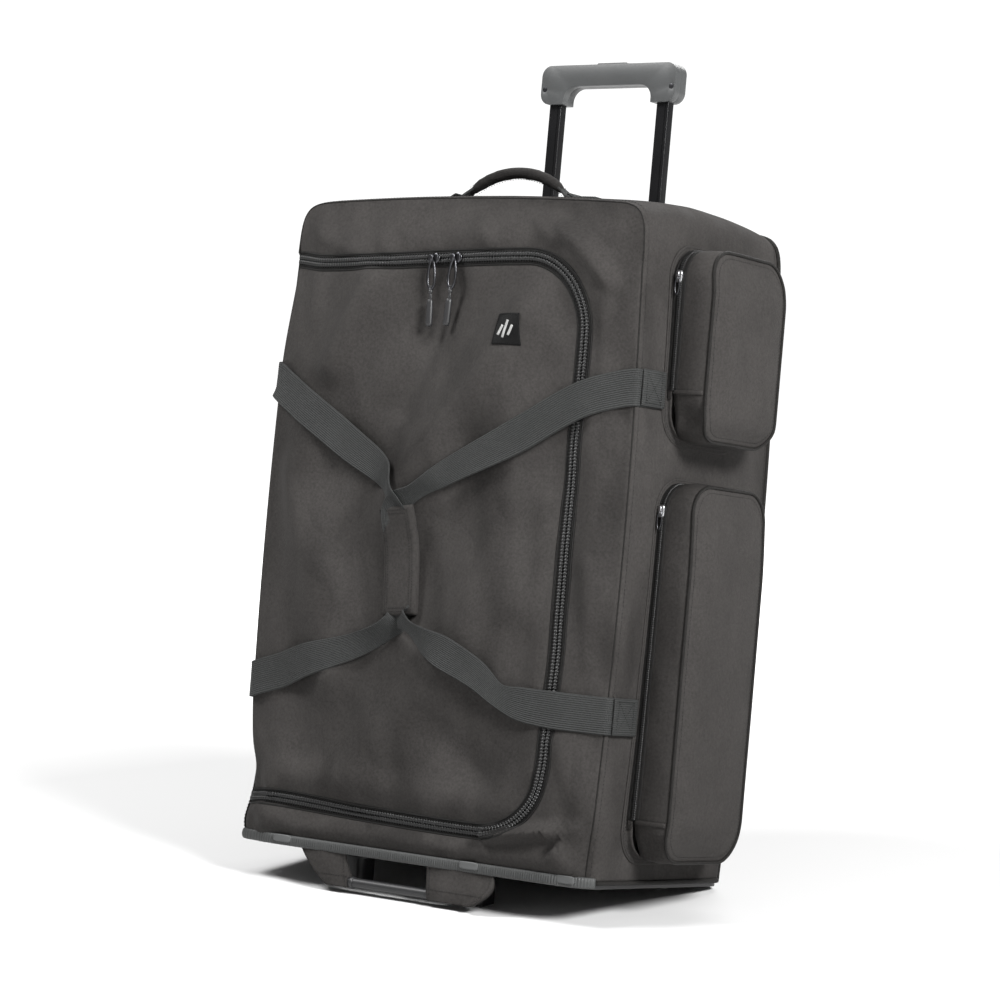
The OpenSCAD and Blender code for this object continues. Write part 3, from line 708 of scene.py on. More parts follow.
def make_lid():
    a = np.linspace(0, math.pi / 2, 26)
    low = LID_BOTTOM + LID_R * (1 - np.cos(a))
    high = LID_TOP - LID_R * (1 - np.cos(a[::-1]))
    z = np.concatenate([low, np.linspace(low[-1], high[0], 120)[1:-1], high])
    dz = np.minimum(np.minimum(LID_TOP - z, z - LID_BOTTOM), LID_R)
    right = LID_RIGHT - LID_R + np.sqrt(np.maximum(LID_R ** 2 - (LID_R - dz) ** 2, 0)) - 0.0008
    left = -half_width(z, -1) + 0.0004
    u = np.linspace(0, 1, 120)
    x = left[:, None] + (right - left)[:, None] * u
    zz = np.clip(np.repeat(z[:, None], len(u), 1), LID_BOTTOM + 0.0008, LID_TOP - 0.0008)
    obj = add_object("lid", front(x, zz).reshape(-1, 3), grid_faces(len(z), len(u)), M_FABRIC, None,
                     inner=M_LINING, middle=MIDDLE)
    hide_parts("lid_panel")
    return obj


def make_back_panel():
    """Flat back with the notches of the two wheel housings."""
    wheel_x, notch_half, notch_top = 0.170, 0.0192, 0.0665
    cuts = [s * (wheel_x + e * notch_half) for s in (-1, 1) for e in (-1, 1)]
    u = np.linspace(-1, 1, 90)
    for c in cuts:
        u[np.argmin(np.abs(u * HALF_W - c))] = c / HALF_W
    z = np.concatenate([np.linspace(SKIRT_Z, notch_top, 12), np.linspace(notch_top, TOP + CROWN, 140)[1:]])
    start = np.minimum(z, TOP + CROWN - 2e-4)
    width = np.maximum(outline_hit(0 * z, start, 1 + 0 * z, 0 * z)[:, 0], 0.001)
    low = z[:, None] < 0.085
    x = np.where(low, u * HALF_W, u * width[:, None]) + 0 * z[:, None]
    x = np.where(low & (np.abs(u) > 0.93), u * width[:, None], x)
    zz = np.repeat(z[:, None], len(u), 1)
    edge = np.minimum(width[:, None] - np.abs(x), 0.03) / 0.03
    y = HALF_D + (0.002 + 0.0015 * wave_noise(x, 1.0, zz, 0.12, 2.0)) * ease(edge)
    verts = rounded(np.stack([x, y, zz], -1)).reshape(-1, 3)
    faces = []
    for f in grid_faces(len(z), len(u)):
        cx, cz = verts[list(f), 0].mean(), verts[list(f), 2].mean()
        if not (cz < notch_top and abs(abs(cx) - wheel_x) < notch_half):
            faces.append(f)
    obj = add_object("back", verts, faces, M_FABRIC, "root", inner=M_LINING, middle=MIDDLE)
    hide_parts("back_panel")
    return thicken(obj)


def make_seams():
    """Cords in the front and back seams, and the top-stitching beside them."""
    cord = Parts()
    n = np.stack([OUT_N[:, 0], 0 * OUT_N[:, 0], OUT_N[:, 1]], 1)
    cord.add(*sweep(gusset_points(-HALF_D + 0.0004, -0.0002), n, circle_section(0.0009, 8)))
    cord.add(*sweep(gusset_points(HALF_D - 0.001, 0.0012), n, circle_section(0.0027, 10)))
    obj = cord.build("seam_piping", M_PIPING, "root")
    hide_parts("piping")
    thread = Parts()
    for y in (-HALF_D + 0.007, HALF_D - 0.008):
        stitches(thread, gusset_points(y, 0.0002), n)
    thread.build("seam_stitching", M_THREAD_DARK, "root")


make_gusset()
make_front_panel()
LID = make_lid()
make_back_panel()
make_seams()


# ---- main zip --------------------------------------------------------------------------------


def coil(points, normals, r=0.0021, pitch=0.0036):
    """A row of moulded coil teeth along points."""
    run = distances(points)[-1]
    both = resample(np.hstack([points, normals * 0.001]), step=pitch / 4)
    p, n = both[:, :3], both[:, 3:] * 1000
    s = np.arange(len(p)) * run / (len(p) - 1)
    swell = 1 + 0.45 * np.cos(2 * math.pi * s / pitch)
    t = tangents(p)
    across = unit(np.cross(t, unit(n)))
    up = unit(np.cross(across, t))
    a = np.linspace(0, 2 * math.pi, 6, endpoint=False)
    verts = (p[:, None] + (across[:, None] * np.cos(a)[None, :, None] * 1.15
                           + up[:, None] * np.sin(a)[None, :, None] * 0.75) * (r * swell)[:, None, None])
    return verts.reshape(-1, 3), grid_faces(len(p), len(a), False, True)


def tape(points, normals, half):
    """A flat tape along points, half wide on each side, with a raised selvedge."""
    x = np.linspace(-half, half, 9)
    lift = 0.0007 * np.array([0.2, 1.5, 1.3, 1.0, 0.9, 1.0, 1.3, 1.5, 0.2])
    section = np.vstack([np.stack([x, lift], 1), np.stack([x[::-1], -0.3 * lift], 1)])
    return sweep(points, normals, section)


def lid_line(shift, out):
    """Points along the lid's edge, shift outside it and raised by out."""
    return on_front(lid_path(shift, 0.004, inset=0.0025)[0], out)


def make_main_zip():
    """A tape with its coil, rolled rim and stitches on each side of the gap."""
    for name, node, sign, body in (("outer_zip", "zip_tape_outer", 1, "root"),
                                   ("inner_zip", "zip_tape_inner", -1, None)):
        strip, teeth, thread = Parts(), Parts(), Parts()
        middle = lid_line(sign * 0.0042, 0.0009)
        strip.add(*tape(middle, front_normals(middle), 0.0036))
        rim = lid_line(sign * 0.0086, 0.0004)
        strip.add(*sweep(rim, front_normals(rim), circle_section(0.0011, 8, 0.8)))
        edge = lid_line(sign * 0.0026, 0.0024)
        teeth.add(*coil(edge, front_normals(edge)))
        seam = lid_line(sign * 0.0068, 0.0020)
        stitches(thread, seam, front_normals(seam), **FINE_THREAD)
        pieces = [strip.build(name + "_tape", M_TAPE, body), teeth.build(name + "_coil", M_COIL, body),
                  thread.build(name + "_stitching", M_THREAD_DARK, body)]
        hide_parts(node)
        if body is None:
            LID_PIECES.extend(pieces)


def ball(centre, size, rows=8, sides=12):
    """An ellipsoid."""
    a = np.linspace(0, math.pi, rows + 1)[1:-1]
    b = np.linspace(0, 2 * math.pi, sides, endpoint=False)
    c, size = np.asarray(centre, float), np.asarray(size, float)
    ring = [c + size * (math.sin(u) * math.cos(v), math.sin(u) * math.sin(v), math.cos(u))
            for u in a for v in b]
    verts = ring + [c + size * (0, 0, 1), c - size * (0, 0, 1)]
    faces = grid_faces(len(a), sides, False, True)
    top, low, last = len(ring), len(ring) + 1, (len(a) - 1) * sides
    faces += [(top, i, (i + 1) % sides) for i in range(sides)]
    faces += [(low, last + (i + 1) % sides, last + i) for i in range(sides)]
    return np.array(verts), faces


def pillow(centre, half, power=3.5):
    """A block with soft round edges: half sizes along x, y and z."""
    verts, faces = ball((0, 0, 0), (1, 1, 1), 14, 28)
    k = (np.abs(verts) ** power).sum(1) ** (1 / power)
    return verts / k[:, None] * np.asarray(half) + np.asarray(centre), faces


def make_slider(label, x):
    """A zip slider with its bail, and the pull that hangs from it."""
    y, z = front(x, LID_TOP).reshape(3)[1:]
    body = Parts()
    body.add(*pillow((x, y - 0.0048, z), (0.0082, 0.0018, 0.0050)))
    body.add(*pillow((x, y - 0.0022, z), (0.0068, 0.0024, 0.0046)))
    body.add(*pillow((x + 0.0035, y - 0.0048, z), (0.0030, 0.0022, 0.0062)))
    arch = [(x, y - 0.0058, z + 0.0038), (x, y - 0.0086, z + 0.0030), (x, y - 0.0094, z),
            (x, y - 0.0084, z - 0.0030), (x, y - 0.0058, z - 0.0036)]
    arch = smooth_path(arch, 0.0008)
    body.add(*sweep(arch, facing(arch, 1, 0, 0), circle_section(0.0011, 8, 1.8)))
    obj = body.build("slider_" + label, M_GUNMETAL, "slider_" + label)
    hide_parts("main_slider_" + label)
    make_pull(label, x, y - 0.0080, z)


def make_pull(label, x, y, z):
    """A wire loop with a knotted cord and a moulded tube, hanging a little askew."""
    skew = 0.05 if label == "left" else -0.04
    wire, grip = Parts(), Parts()
    a = np.linspace(0, 2 * math.pi, 44, endpoint=False)
    w = 0.0036 + 0.0022 * (0.5 - 0.5 * np.sin(a))
    loop = np.stack([x + w * np.cos(a), 0 * a + y, z - 0.0185 + 0.0165 * np.sin(a)], 1)
    loop = resample(loop, 60, closed=True)
    loop[:, 0] += skew * (z - loop[:, 2])
    wire.add(*sweep(loop, front_normals(loop), circle_section(0.0015, 8), closed=True))
    obj = wire.build("pull_wire_" + label, M_GUNMETAL, "pull_" + label)
    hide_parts("main_pull_" + label)
    top = np.array([x + skew * 0.034, y, z - 0.034])
    down = unit((skew, 0.0, -1.0))
    knot = top + down * 0.0035
    grip.add(*ball(knot, (0.0026, 0.0023, 0.0030)))
    for e in (-1, 1):
        cord = smooth_path([top + (e * 0.0010, 0.0, 0.003), knot, knot + down * 0.005 + (e * 0.0009, 0, 0),
                            knot + down * 0.012 + (e * 0.0007, 0, 0)], 0.001)
        grip.add(*sweep(cord, facing(cord, 1.0, 0.2, 0.1), circle_section(0.0010, 8)))
    side_dir, front_dir = unit(np.cross(down, (0, 1, 0))), np.array([0, 0.8, 0])
    b = np.linspace(0, 2 * math.pi, 16, endpoint=False)[:, None]
    rings = [knot + down * (0.0085 + t) + (side_dir * np.cos(b) + front_dir * np.sin(b)) * r
             for t, r in ((0, 0.0028), (0.001, 0.0036), (0.004, 0.0039), (0.026, 0.0041),
                          (0.029, 0.0038), (0.030, 0.0026))]
    last = (len(rings) - 1) * 16
    grip.add(np.vstack(rings), grid_faces(len(rings), 16, False, True)
             + [tuple(range(16))[::-1], tuple(last + j for j in range(16))])
    grip.build("pull_grip_" + label, M_BLACK, "pull_" + label)


def make_patch():
    """A small woven label with plain slanted bars."""
    x0, x1, z0, z1 = 0.0730, 0.1055, 0.569, 0.602
    u, v = np.linspace(x0, x1, 16), np.linspace(z0, z1, 16)
    x, z = np.meshgrid(u, v, indexing="ij")
    plate = add_object("label", front(x, z, 0.0011).reshape(-1, 3), grid_faces(16, 16), M_PATCH, "lid",
                       middle=MIDDLE)
    thicken(plate, 0.0010)
    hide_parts("lid_patch")
    marks = Parts()
    for i, (a, b) in enumerate(((0.30, 0.62), (0.22, 0.78), (0.30, 0.62))):
        cx = x0 + (x1 - x0) * (0.30 + 0.20 * i)
        low, high = z0 + (z1 - z0) * a, z0 + (z1 - z0) * b
        t = np.linspace(0, 1, 12)
        line = front(cx + 0.005 * (t - 0.5), low + (high - low) * t, 0.0014).reshape(-1, 3)
        marks.add(*sweep(line, front_normals(line), circle_section(0.0016, 8, 0.25)))
    marks.build("label_bars", M_PATCH_MARK, "lid")
    thread = Parts()
    corners = np.array([(x0, z0), (x1, z0), (x1, z1), (x0, z1), (x0, z0)])
    inner = corners + 0.0013 * np.sign(np.array([((x0 + x1) / 2, (z0 + z1) / 2)]) - corners)
    line = on_front(resample(inner, 80), 0.0013)
    stitches(thread, line, front_normals(line), pitch=0.0022, length=0.0016, r=0.00030)
    thread.build("label_stitching", M_THREAD_DARK, "lid")


LID_PIECES = [LID]
make_main_zip()
make_slider("left", -0.032)
make_slider("right", -0.002)
make_patch()


# ---- carry straps ------------------------------------------------------------------------------

ANCHOR_Y = (-0.092, -0.128)     # the sewn end on a side, from back to front
STRAP_OUT = 0.0016
RIB = dict(width=WEB_W, thick=WEB_T, ribs=17, rib_h=0.00014)


def corner_run(s, z_end, z_corner, slope):
    """Strap line from its sewn end on side s, round the corner and onto the front. slope is how
    much the strap drops on the front for each metre towards the middle."""
    rows = []
    for t, y in zip((0.0, 0.55, 0.9), (ANCHOR_Y[0], -0.113, -0.127)):
        p = side(s, y, z_end + (z_corner - z_end) * t, STRAP_OUT).reshape(3)
        rows.append((*p, s, 0, 0))
    p = side(s, -HALF_D + 0.001, z_corner, STRAP_OUT).reshape(3)
    loose = 0.0070 if s < 0 else 0.0002
    rows.append((p[0] + s * loose, p[1] - 0.0015, z_corner, s * 0.75, -0.65, 0))
    reach = half_width(z_corner, s)
    raised = STRAP_OUT + (0.003 if s < 0 else 0.001)
    for inset, nx in ((0.004, 0.25), (0.018, 0.08)):
        rows.append((*front(s * (reach - inset), z_corner - slope * inset, raised).reshape(3), s * nx, -1, 0))
    return [(*r, 1.0) for r in rows]


def wrap_centre(z):
    return -0.026 - 0.012 * (z - WRAP_Z) / WRAP_LEN


def strap_line(s, upper, lower, ends, mid_out):
    """One loop: side, front, down through the wrap, front and side again. Rows are x, y, z, normal
    and width; upper and lower list (x, z, out, width) along the front, and ends the heights and
    slopes of the sewn ends."""
    middle = [(wrap_centre(z), z, mid_out, 0.85) for z in (WRAP_Z + WRAP_LEN * t for t in (0.95, 0.5, 0.05))]
    on_bag = [(*front(x, z, out).reshape(3), 0, -1, 0, width) for x, z, out, width in upper + middle + lower]
    return np.array(corner_run(s, *ends[0]) + on_bag + corner_run(s, *ends[1])[::-1], float)


def build_strap(node, rows, twist):
    """Sweeps the ribbed webbing along rows, turned by the twists (z, x, degrees, reach)."""
    weight = np.array([1, 1, 1, 0.05, 0.05, 0.05, 0.05])
    line = smooth_path(rows * weight, 0.0035) / weight
    p, n, width = line[:, :3], unit(line[:, 3:6]), line[:, 6]
    t = tangents(p)
    n = unit(n - (n * t).sum(1)[:, None] * t)
    across = unit(np.cross(t, n))
    angle = np.zeros(len(p))
    for at_z, x_near, degrees, reach in twist:
        angle += math.radians(degrees) * hump(np.hypot(p[:, 2] - at_z, p[:, 0] - x_near) / reach)
    n = n * np.cos(angle)[:, None] + across * np.sin(angle)[:, None]
    waves = 0.0012 * wave_noise(distances(p), 0.0, 0.0, 0.05, 4.0 if node == "strap_left" else 8.0)
    p = p + n * waves[:, None] * (np.abs(p[:, 0]) < 0.2)[:, None]
    verts, faces, uvs = sweep(p, n, strip_section(**RIB), scale=np.clip(width, 0.2, 1.0))
    obj = add_object(node, verts, faces, M_WEBBING, None, uvs)
    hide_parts(node)
    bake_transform(obj)


def make_straps():
    left = strap_line(-1, [(-0.180, 0.491, 0.005, 1.0), (-0.122, 0.457, 0.006, 0.98),
                           (-0.070, 0.427, 0.007, 0.80), (-0.044, 0.402, 0.007, 0.55)],
                      [(-0.040, 0.254, 0.008, 0.62), (-0.083, 0.232, 0.007, 0.72),
                       (-0.141, 0.213, 0.005, 0.92), (-0.190, 0.197, 0.004, 1.0)],
                      ((0.538, 0.527, 0.62), (0.176, 0.182, -0.30)), 0.0022)
    build_strap("strap_left", left, [(0.405, -0.045, 34, 0.030), (0.250, -0.045, -30, 0.035)])
    right = strap_line(1, [(0.190, 0.519, 0.005, 1.0), (0.150, 0.500, 0.006, 1.0), (0.105, 0.474, 0.006, 1.0),
                           (0.030, 0.433, 0.008, 0.75), (-0.012, 0.406, 0.008, 0.50)],
                       [(-0.012, 0.262, 0.011, 0.48), (0.022, 0.246, 0.012, 0.70),
                        (0.054, 0.234, 0.012, 0.90), (0.084, 0.216, 0.012, 0.78),
                        (0.110, 0.196, 0.010, 0.62), (0.140, 0.188, 0.008, 0.90),
                        (0.182, 0.185, 0.006, 1.0)],
                       ((0.534, 0.533, 0.20), (0.184, 0.184, 0.0)), 0.0062)
    build_strap("strap_right", right,
                [(0.402, -0.008, -32, 0.030), (0.262, 0.000, 36, 0.030), (0.205, 0.098, -30, 0.022)])


def sewn_box(parts, place, y0, y1, z0, z1):
    """Box-and-cross stitching; place(y, z) gives points of the strap's outer face."""
    legs = [((y0, z0), (y1, z0)), ((y1, z0), (y1, z1)), ((y1, z1), (y0, z1)), ((y0, z1), (y0, z0)),
            ((y0, z0), (y1, z1)), ((y0, z1), (y1, z0))]
    for a, b in legs:
        t = np.linspace(0, 1, 24)
        p, n = place(a[0] + (b[0] - a[0]) * t, a[1] + (b[1] - a[1]) * t)
        stitches(parts, p, n, pitch=0.0026, length=0.0020, r=0.00042)


def make_strap_ends():
    """Doubled webbing ends sewn to the sides with a boxed cross."""
    ends, thread = Parts(), Parts()
    for s, z in ((-1, WEB_TOP_Z), (-1, WEB_LOW_Z - 0.006), (1, WEB_TOP_Z), (1, WEB_LOW_Z)):
        p = side(s, np.linspace(ANCHOR_Y[0] + 0.002, ANCHOR_Y[1] - 0.002, 24), z, 0.0040)
        ends.add(*sweep(p, facing(p, s, 0, 0), strip_section(WEB_W * 0.98, WEB_T, 17, 0.00014)))

        def place(yy, zz, s=s):
            pts = side(s, yy, zz, 0.0056)
            return pts, facing(pts, s, 0, 0)
        sewn_box(thread, place, ANCHOR_Y[1] + 0.004, ANCHOR_Y[0] - 0.006, z - 0.016, z + 0.016)
    obj = ends.build("strap_ends", M_WEBBING, "root")
    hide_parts("strap_anchors")
    thread.build("strap_end_stitching", M_THREAD_DARK, "root")


def smooth_out(values, reach=9):
    pad = np.pad(values, reach, mode="edge")
    return np.convolve(pad, np.ones(2 * reach + 1) / (2 * reach + 1), "valid")


def make_wrap():
    """Padded sleeve that holds both straps together."""
    z = np.linspace(WRAP_Z + WRAP_LEN, WRAP_Z, 44)
    p = front(wrap_centre(z), z, 0.0050)
    p[:, 1] = np.interp(z, z[::-1], smooth_out(p[::-1, 1]))
    half, deep, count = WRAP_W * 0.46, 0.0056, 64
    a = np.linspace(0, 2 * math.pi, count, endpoint=False)
    c, s = np.cos(a), np.sin(a)
    section = np.stack([half * np.sign(c) * np.abs(c) ** 0.45, deep * np.sign(s) * np.abs(s) ** 0.6], 1)
    verts, faces, _ = sweep(p, front_normals(p), section)
    verts = verts.reshape(len(z), count, 3)
    mid = verts.mean(1, keepdims=True)
    ends = np.clip(np.minimum(z - WRAP_Z, WRAP_Z + WRAP_LEN - z) / 0.004, 0, 1) ** 0.5
    puff = 1 + 0.10 * np.sin(math.pi * np.linspace(0, 1, len(z))) ** 0.6
    verts[..., 1] = mid[..., 1] + (verts[..., 1] - mid[..., 1]) * ((0.80 + 0.20 * ends) * puff)[:, None]
    flat = verts.reshape(-1, 3)
    flat[:, 1] -= 0.0006 * wave_noise(flat[:, 0], 0, flat[:, 2], 0.02, 6.0)
    obj = add_object("grip_wrap_sleeve", flat, faces, M_WRAP, "strap_right_loop")
    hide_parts("grip_wrap")
    face = verts[:, :count // 2]
    if face[0, count // 4, 1] > verts[0, 3 * count // 4, 1]:
        face = verts[:, count // 2:]
    face = np.take_along_axis(face, np.argsort(face[..., :1], axis=1), axis=1)

    def on_face(u, v):
        """A point of the sleeve's front: u across and v along, both from 0 to 1."""
        at_row = min(v, 1) * (len(z) - 1)
        k = min(int(at_row), len(z) - 2)
        row = face[k] * (1 - at_row + k) + face[k + 1] * (at_row - k)
        x = row[0, 0] + u * (row[-1, 0] - row[0, 0])
        return x, np.interp(x, row[:, 0], row[:, 1]) - 0.0003, np.interp(x, row[:, 0], row[:, 2])
    thread = Parts()
    for in_x, in_z in ((0.10, 0.035), (0.17, 0.065)):
        loop = [(in_x, in_z), (1 - in_x, in_z), (1 - in_x, 1 - in_z), (in_x, 1 - in_z), (in_x, in_z)]
        path = resample(np.array(loop) * (WRAP_W, WRAP_LEN), 120) / (WRAP_W, WRAP_LEN)
        line = np.array([on_face(u, v) for u, v in path])
        stitches(thread, line, front_normals(line), **CLOSE_THREAD)
    thread.build("grip_wrap_stitching", M_THREAD_DARK, "strap_right_loop")


make_straps()
make_strap_ends()
make_wrap()


# ---- side pockets ----------------------------------------------------------------------------------

POCKET_TOP = POCKET_OUT - 0.001         # the cover's rim above the side
POCKET_FRONT = POCKET_Y - POCKET_W / 2
RING_COUNT = 220


class Pocket:
    """A side pocket's outline, and points on it at any height above the side."""

    def __init__(self, label, z0, h, zip_low, seed, lean_top):
        self.label, self.z0, self.h, self.zip_low = label, z0, h, zip_low
        self.seed, self.lean_top = seed, lean_top
        self.centre = np.array([POCKET_Y, z0 + h / 2])
        self.cover = f"pocket_{label}"

    def ring(self, grow, count=RING_COUNT):
        """Rounded outline in y and z, grown by grow, from the middle of its bottom edge."""
        r = max(POCKET_R + grow, 0.004)
        half, low, high = POCKET_W / 2 + grow, self.z0 - grow, self.z0 + self.h + grow
        left, right = POCKET_Y - half + r, POCKET_Y + half - r
        pts = [(POCKET_Y, low)]
        for cy, cz, a0 in ((right, low + r, -90), (right, high - r, 0),
                           (left, high - r, 90), (left, low + r, 180)):
            for a in np.radians(np.linspace(a0, a0 + 90, 14)):
                pts.append((cy + r * math.cos(a), cz + r * math.sin(a)))
        return resample(pts, count, closed=True)

    def points(self, ring, out, soft=0.0):
        """Ring points standing out from the right side by out, with soft wrinkles."""
        base = side(1, ring[:, 0], ring[:, 1])[..., 0]
        share = np.clip(out / 0.02, 0, 1)
        x = base * (1 - share) + (HALF_W + 0.006) * share + out
        w = soft * wave_noise(ring[:, 0], out, ring[:, 1], 0.045, self.seed)
        yz = ring + unit(ring - ring.mean(0)) * w[:, None]
        return np.stack([x, yz[:, 0], yz[:, 1]], 1)

    def tilt(self, out, z):
        """The pocket stands out less at its top and bottom ends."""
        v = (z - self.z0) / self.h
        less = self.lean_top * ease((v - 0.75) / 0.25) + 0.006 * ease((0.12 - v) / 0.12)
        return -less * np.clip(out / POCKET_TOP, 0, 1)

    def add_sheet(self, name, rings, body, inner, from_x):
        return add_object(name, np.vstack(rings), grid_faces(len(rings), RING_COUNT, False, True), M_POCKET,
                          body, inner=inner, middle=(from_x, *self.centre))


def weld_doubles(obj):
    """Joins vertices that share a place, so that a surface shades without a break."""
    shape = bmesh.new()
    shape.from_mesh(obj.data)
    bmesh.ops.remove_doubles(shape, verts=shape.verts, dist=0.0005)
    shape.to_mesh(obj.data)
    shape.free()


def make_pocket_foot(pocket):
    """Sewn flange and the lower part of the gusset, which stay on the bag. Each level is how far
    it stands out and how far it is outside the outline."""
    levels = [(0.0002, 0.0075), (0.0016, 0.0072), (0.0018, 0.001), (0.0024, -0.0004), (0.006, -0.0002),
              (POCKET_BASE - 0.0012, 0.0)]
    rings = [pocket.points(pocket.ring(g), o, 0.0015 * min(1.0, o / 0.02)) for o, g in levels]
    obj = pocket.add_sheet(pocket.cover + "_foot", rings, "root", None, HALF_W - 0.05)
    thicken(obj, 0.0012)
    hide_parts("pocket_base_" + pocket.label)


def make_pocket_cover(pocket):
    """The padded cover: gusset, rim and puffed outer panel. Returns its rows of points."""
    mid_z, seed = pocket.centre[1], pocket.seed
    rings = []
    for o, g in ((POCKET_BASE + 0.0012, 0.0), (0.020, 0.0012), (0.032, 0.0022), (0.044, 0.0018),
                 (POCKET_TOP - 0.003, 0.0004), (POCKET_TOP - 0.0008, -0.0006)):
        bow = math.sin(math.pi * o / POCKET_OUT)
        ring = pocket.ring(g)
        p = pocket.points(ring, o, 0.0022 * bow)
        p[:, 0] += pocket.tilt(o, ring[:, 1])
        on_front_side = ease((POCKET_Y - 0.35 * POCKET_W - p[:, 1]) / 0.010)
        p[:, 1] += 0.010 * on_front_side * hump((p[:, 2] - pocket.zip_low + 0.026) / 0.015) * bow
        rings.append(p)
    edge = rings[-1]
    ridge_z = mid_z + (edge[:, 2] - mid_z) * (1 - POCKET_W / pocket.h * 0.98)
    ridge = np.stack([np.full(RING_COUNT, POCKET_Y), ridge_z], 1)
    for t in np.linspace(0, 1, 26)[1:]:
        y, z = (edge[:, 1:] * (1 - t) + ridge * t).T
        puff = 0.0075 * math.sin(math.pi / 2 * min(1, t * 1.7)) ** 0.8
        soft = 0.0013 * wave_noise(0, y, z, 0.05, seed + 2) + 0.0006 * wave_noise(0, y, z, 0.02, seed)
        x = HALF_W + 0.006 + POCKET_TOP - 0.0008 + pocket.tilt(POCKET_TOP, z) + puff + soft * ease(t / 0.15)
        rings.append(np.stack([x, y, z], 1))
    obj = pocket.add_sheet(pocket.cover, rings, pocket.cover, M_LINING, HALF_W - 0.02)
    weld_doubles(obj)
    thicken(obj, 0.0014)
    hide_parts("pocket_cover_" + pocket.label)
    return rings


def make_pocket_seams(pocket, rings):
    """Piping round the outer panel, and stitches on the flange and the panel."""
    away = unit(pocket.ring(-0.0008) - pocket.centre)
    n = np.stack([np.full(RING_COUNT, 0.7), away[:, 0] * 0.7, away[:, 1] * 0.7], 1)
    cord = Parts()
    cord.add(*sweep(rings[5] + n * 0.0010, n, circle_section(0.0019, 8), closed=True))
    cord.build(pocket.cover + "_piping", M_PIPING, pocket.cover)

    def stitched(name, lines, body):
        thread = Parts()
        for line in lines:
            line = np.vstack([line, line[:1]])
            stitches(thread, line, facing(line, 1, 0, 0), **FINE_THREAD)
        thread.build(pocket.cover + name, M_THREAD_DARK, body)
    stitched("_stitching", [pocket.points(pocket.ring(grow), 0.0022) for grow in (0.0052, 0.0022)], "root")
    stitched("_panel_stitching", [rings[7] + (0.0002, 0, 0)], pocket.cover)


def make_pocket_zip(pocket):
    """The zip round the gusset: up the front, over the top and down the back."""
    z0, h, middle = pocket.z0, pocket.h, pocket.centre[0]
    ring = pocket.ring(0.0, 480)
    run = ring[ring[:, 1] > pocket.zip_low]
    run = run[np.argsort(np.arctan2(run[:, 1] - pocket.zip_low + 0.001, run[:, 0] - middle))]
    run = resample(run, step=0.003)
    away = unit(run - np.stack([np.full(len(run), middle),
                                np.clip(run[:, 1], z0 + POCKET_R, z0 + h - POCKET_R)], 1))
    n = np.stack([0 * run[:, 0], away[:, 0], away[:, 1]], 1)
    for name, sign, body in (("foot", -1, "root"), ("cover", 1, pocket.cover)):
        strip, teeth = Parts(), Parts()
        strip.add(*tape(pocket.points(run, POCKET_BASE + sign * 0.0044) + n * 0.0012, n, 0.0034))
        teeth.add(*coil(pocket.points(run, POCKET_BASE + sign * 0.0011) + n * 0.0022, n, 0.0013, 0.0024))
        strip.build(f"{pocket.cover}_tape_{name}", M_TAPE, body)
        teeth.build(f"{pocket.cover}_coil_{name}", M_COIL, body)


def make_pocket_stops(pocket):
    """Fabric tabs over the zip's lower ends, and the seam across the gusset there."""
    tabs, seam = Parts(), Parts()
    for s in (-1, 1):
        foot = np.array([(POCKET_Y + s * POCKET_W / 2, pocket.zip_low - 0.002)])
        outs = np.linspace(0.004, POCKET_BASE - 0.001, 8)
        line = np.vstack([pocket.points(foot, o) for o in outs]) + (0, s * 0.0013, 0)
        tabs.add(*sweep(line, facing(line, 0, s, 0), strip_section(0.014, 0.0012)))
    tabs.build(pocket.cover + "_zip_stops", M_POCKET, "root")
    foot = np.array([(POCKET_FRONT, pocket.zip_low - 0.001)])
    outs = np.linspace(POCKET_BASE + 0.002, POCKET_TOP - 0.003, 14)
    line = np.vstack([pocket.points(foot, o) for o in outs])
    line[:, 1] -= 0.0012 + 0.0016 * np.sin(math.pi * np.linspace(0, 1, 14))
    seam.add(*sweep(line, front_normals(line), strip_section(0.0050, 0.0014)))
    seam.build(pocket.cover + "_cross_seam", M_POCKET, pocket.cover)


def make_pocket_slider(pocket):
    """A metal slider at the top of the front run, with its tab hanging."""
    z = pocket.z0 + pocket.h - POCKET_R + 0.002
    x, y, z = pocket.points(np.array([(POCKET_FRONT, z)]), POCKET_BASE)[0]
    body = "pocket_zip_" + pocket.label
    pull, slider = Parts(), Parts()
    a = np.linspace(0, 2 * math.pi, 40, endpoint=False)
    loop = np.stack([x + 0.0026 * np.cos(a), 0 * a + y - 0.0066, z - 0.0100 + 0.0100 * np.sin(a)], 1)
    pull.add(*sweep(loop, front_normals(loop), circle_section(0.0008, 8), closed=True))
    pull.build(pocket.cover + "_pull", M_GUNMETAL, body)
    slider.add(*pillow((x, y - 0.0040, z), (0.0042, 0.0018, 0.0068)))
    slider.add(*pillow((x, y - 0.0018, z), (0.0036, 0.0018, 0.0060)))
    slider.add(*pillow((x, y - 0.0060, z + 0.001), (0.0012, 0.0014, 0.0040)))
    obj = slider.build(pocket.cover + "_slider", M_STEEL, body)
    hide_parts("pocket_slider_" + pocket.label)


for pocket in (Pocket("upper", *UPPER_POCKET, zip_low=0.535, seed=3.0, lean_top=0.006),
               Pocket("lower", *LOWER_POCKET, zip_low=0.075, seed=11.0, lean_top=0.004)):
    make_pocket_foot(pocket)
    pocket_rows = make_pocket_cover(pocket)
    make_pocket_seams(pocket, pocket_rows)
    make_pocket_zip(pocket)
    make_pocket_stops(pocket)
    make_pocket_slider(pocket)


# ---- base trim, clips and the bottom handle ----------------------------------------------------------

LOW_X = -0.024                  # the bottom handle is left of the middle
TRIM_Z = 0.0066
TRIM_STEP = 0.0008


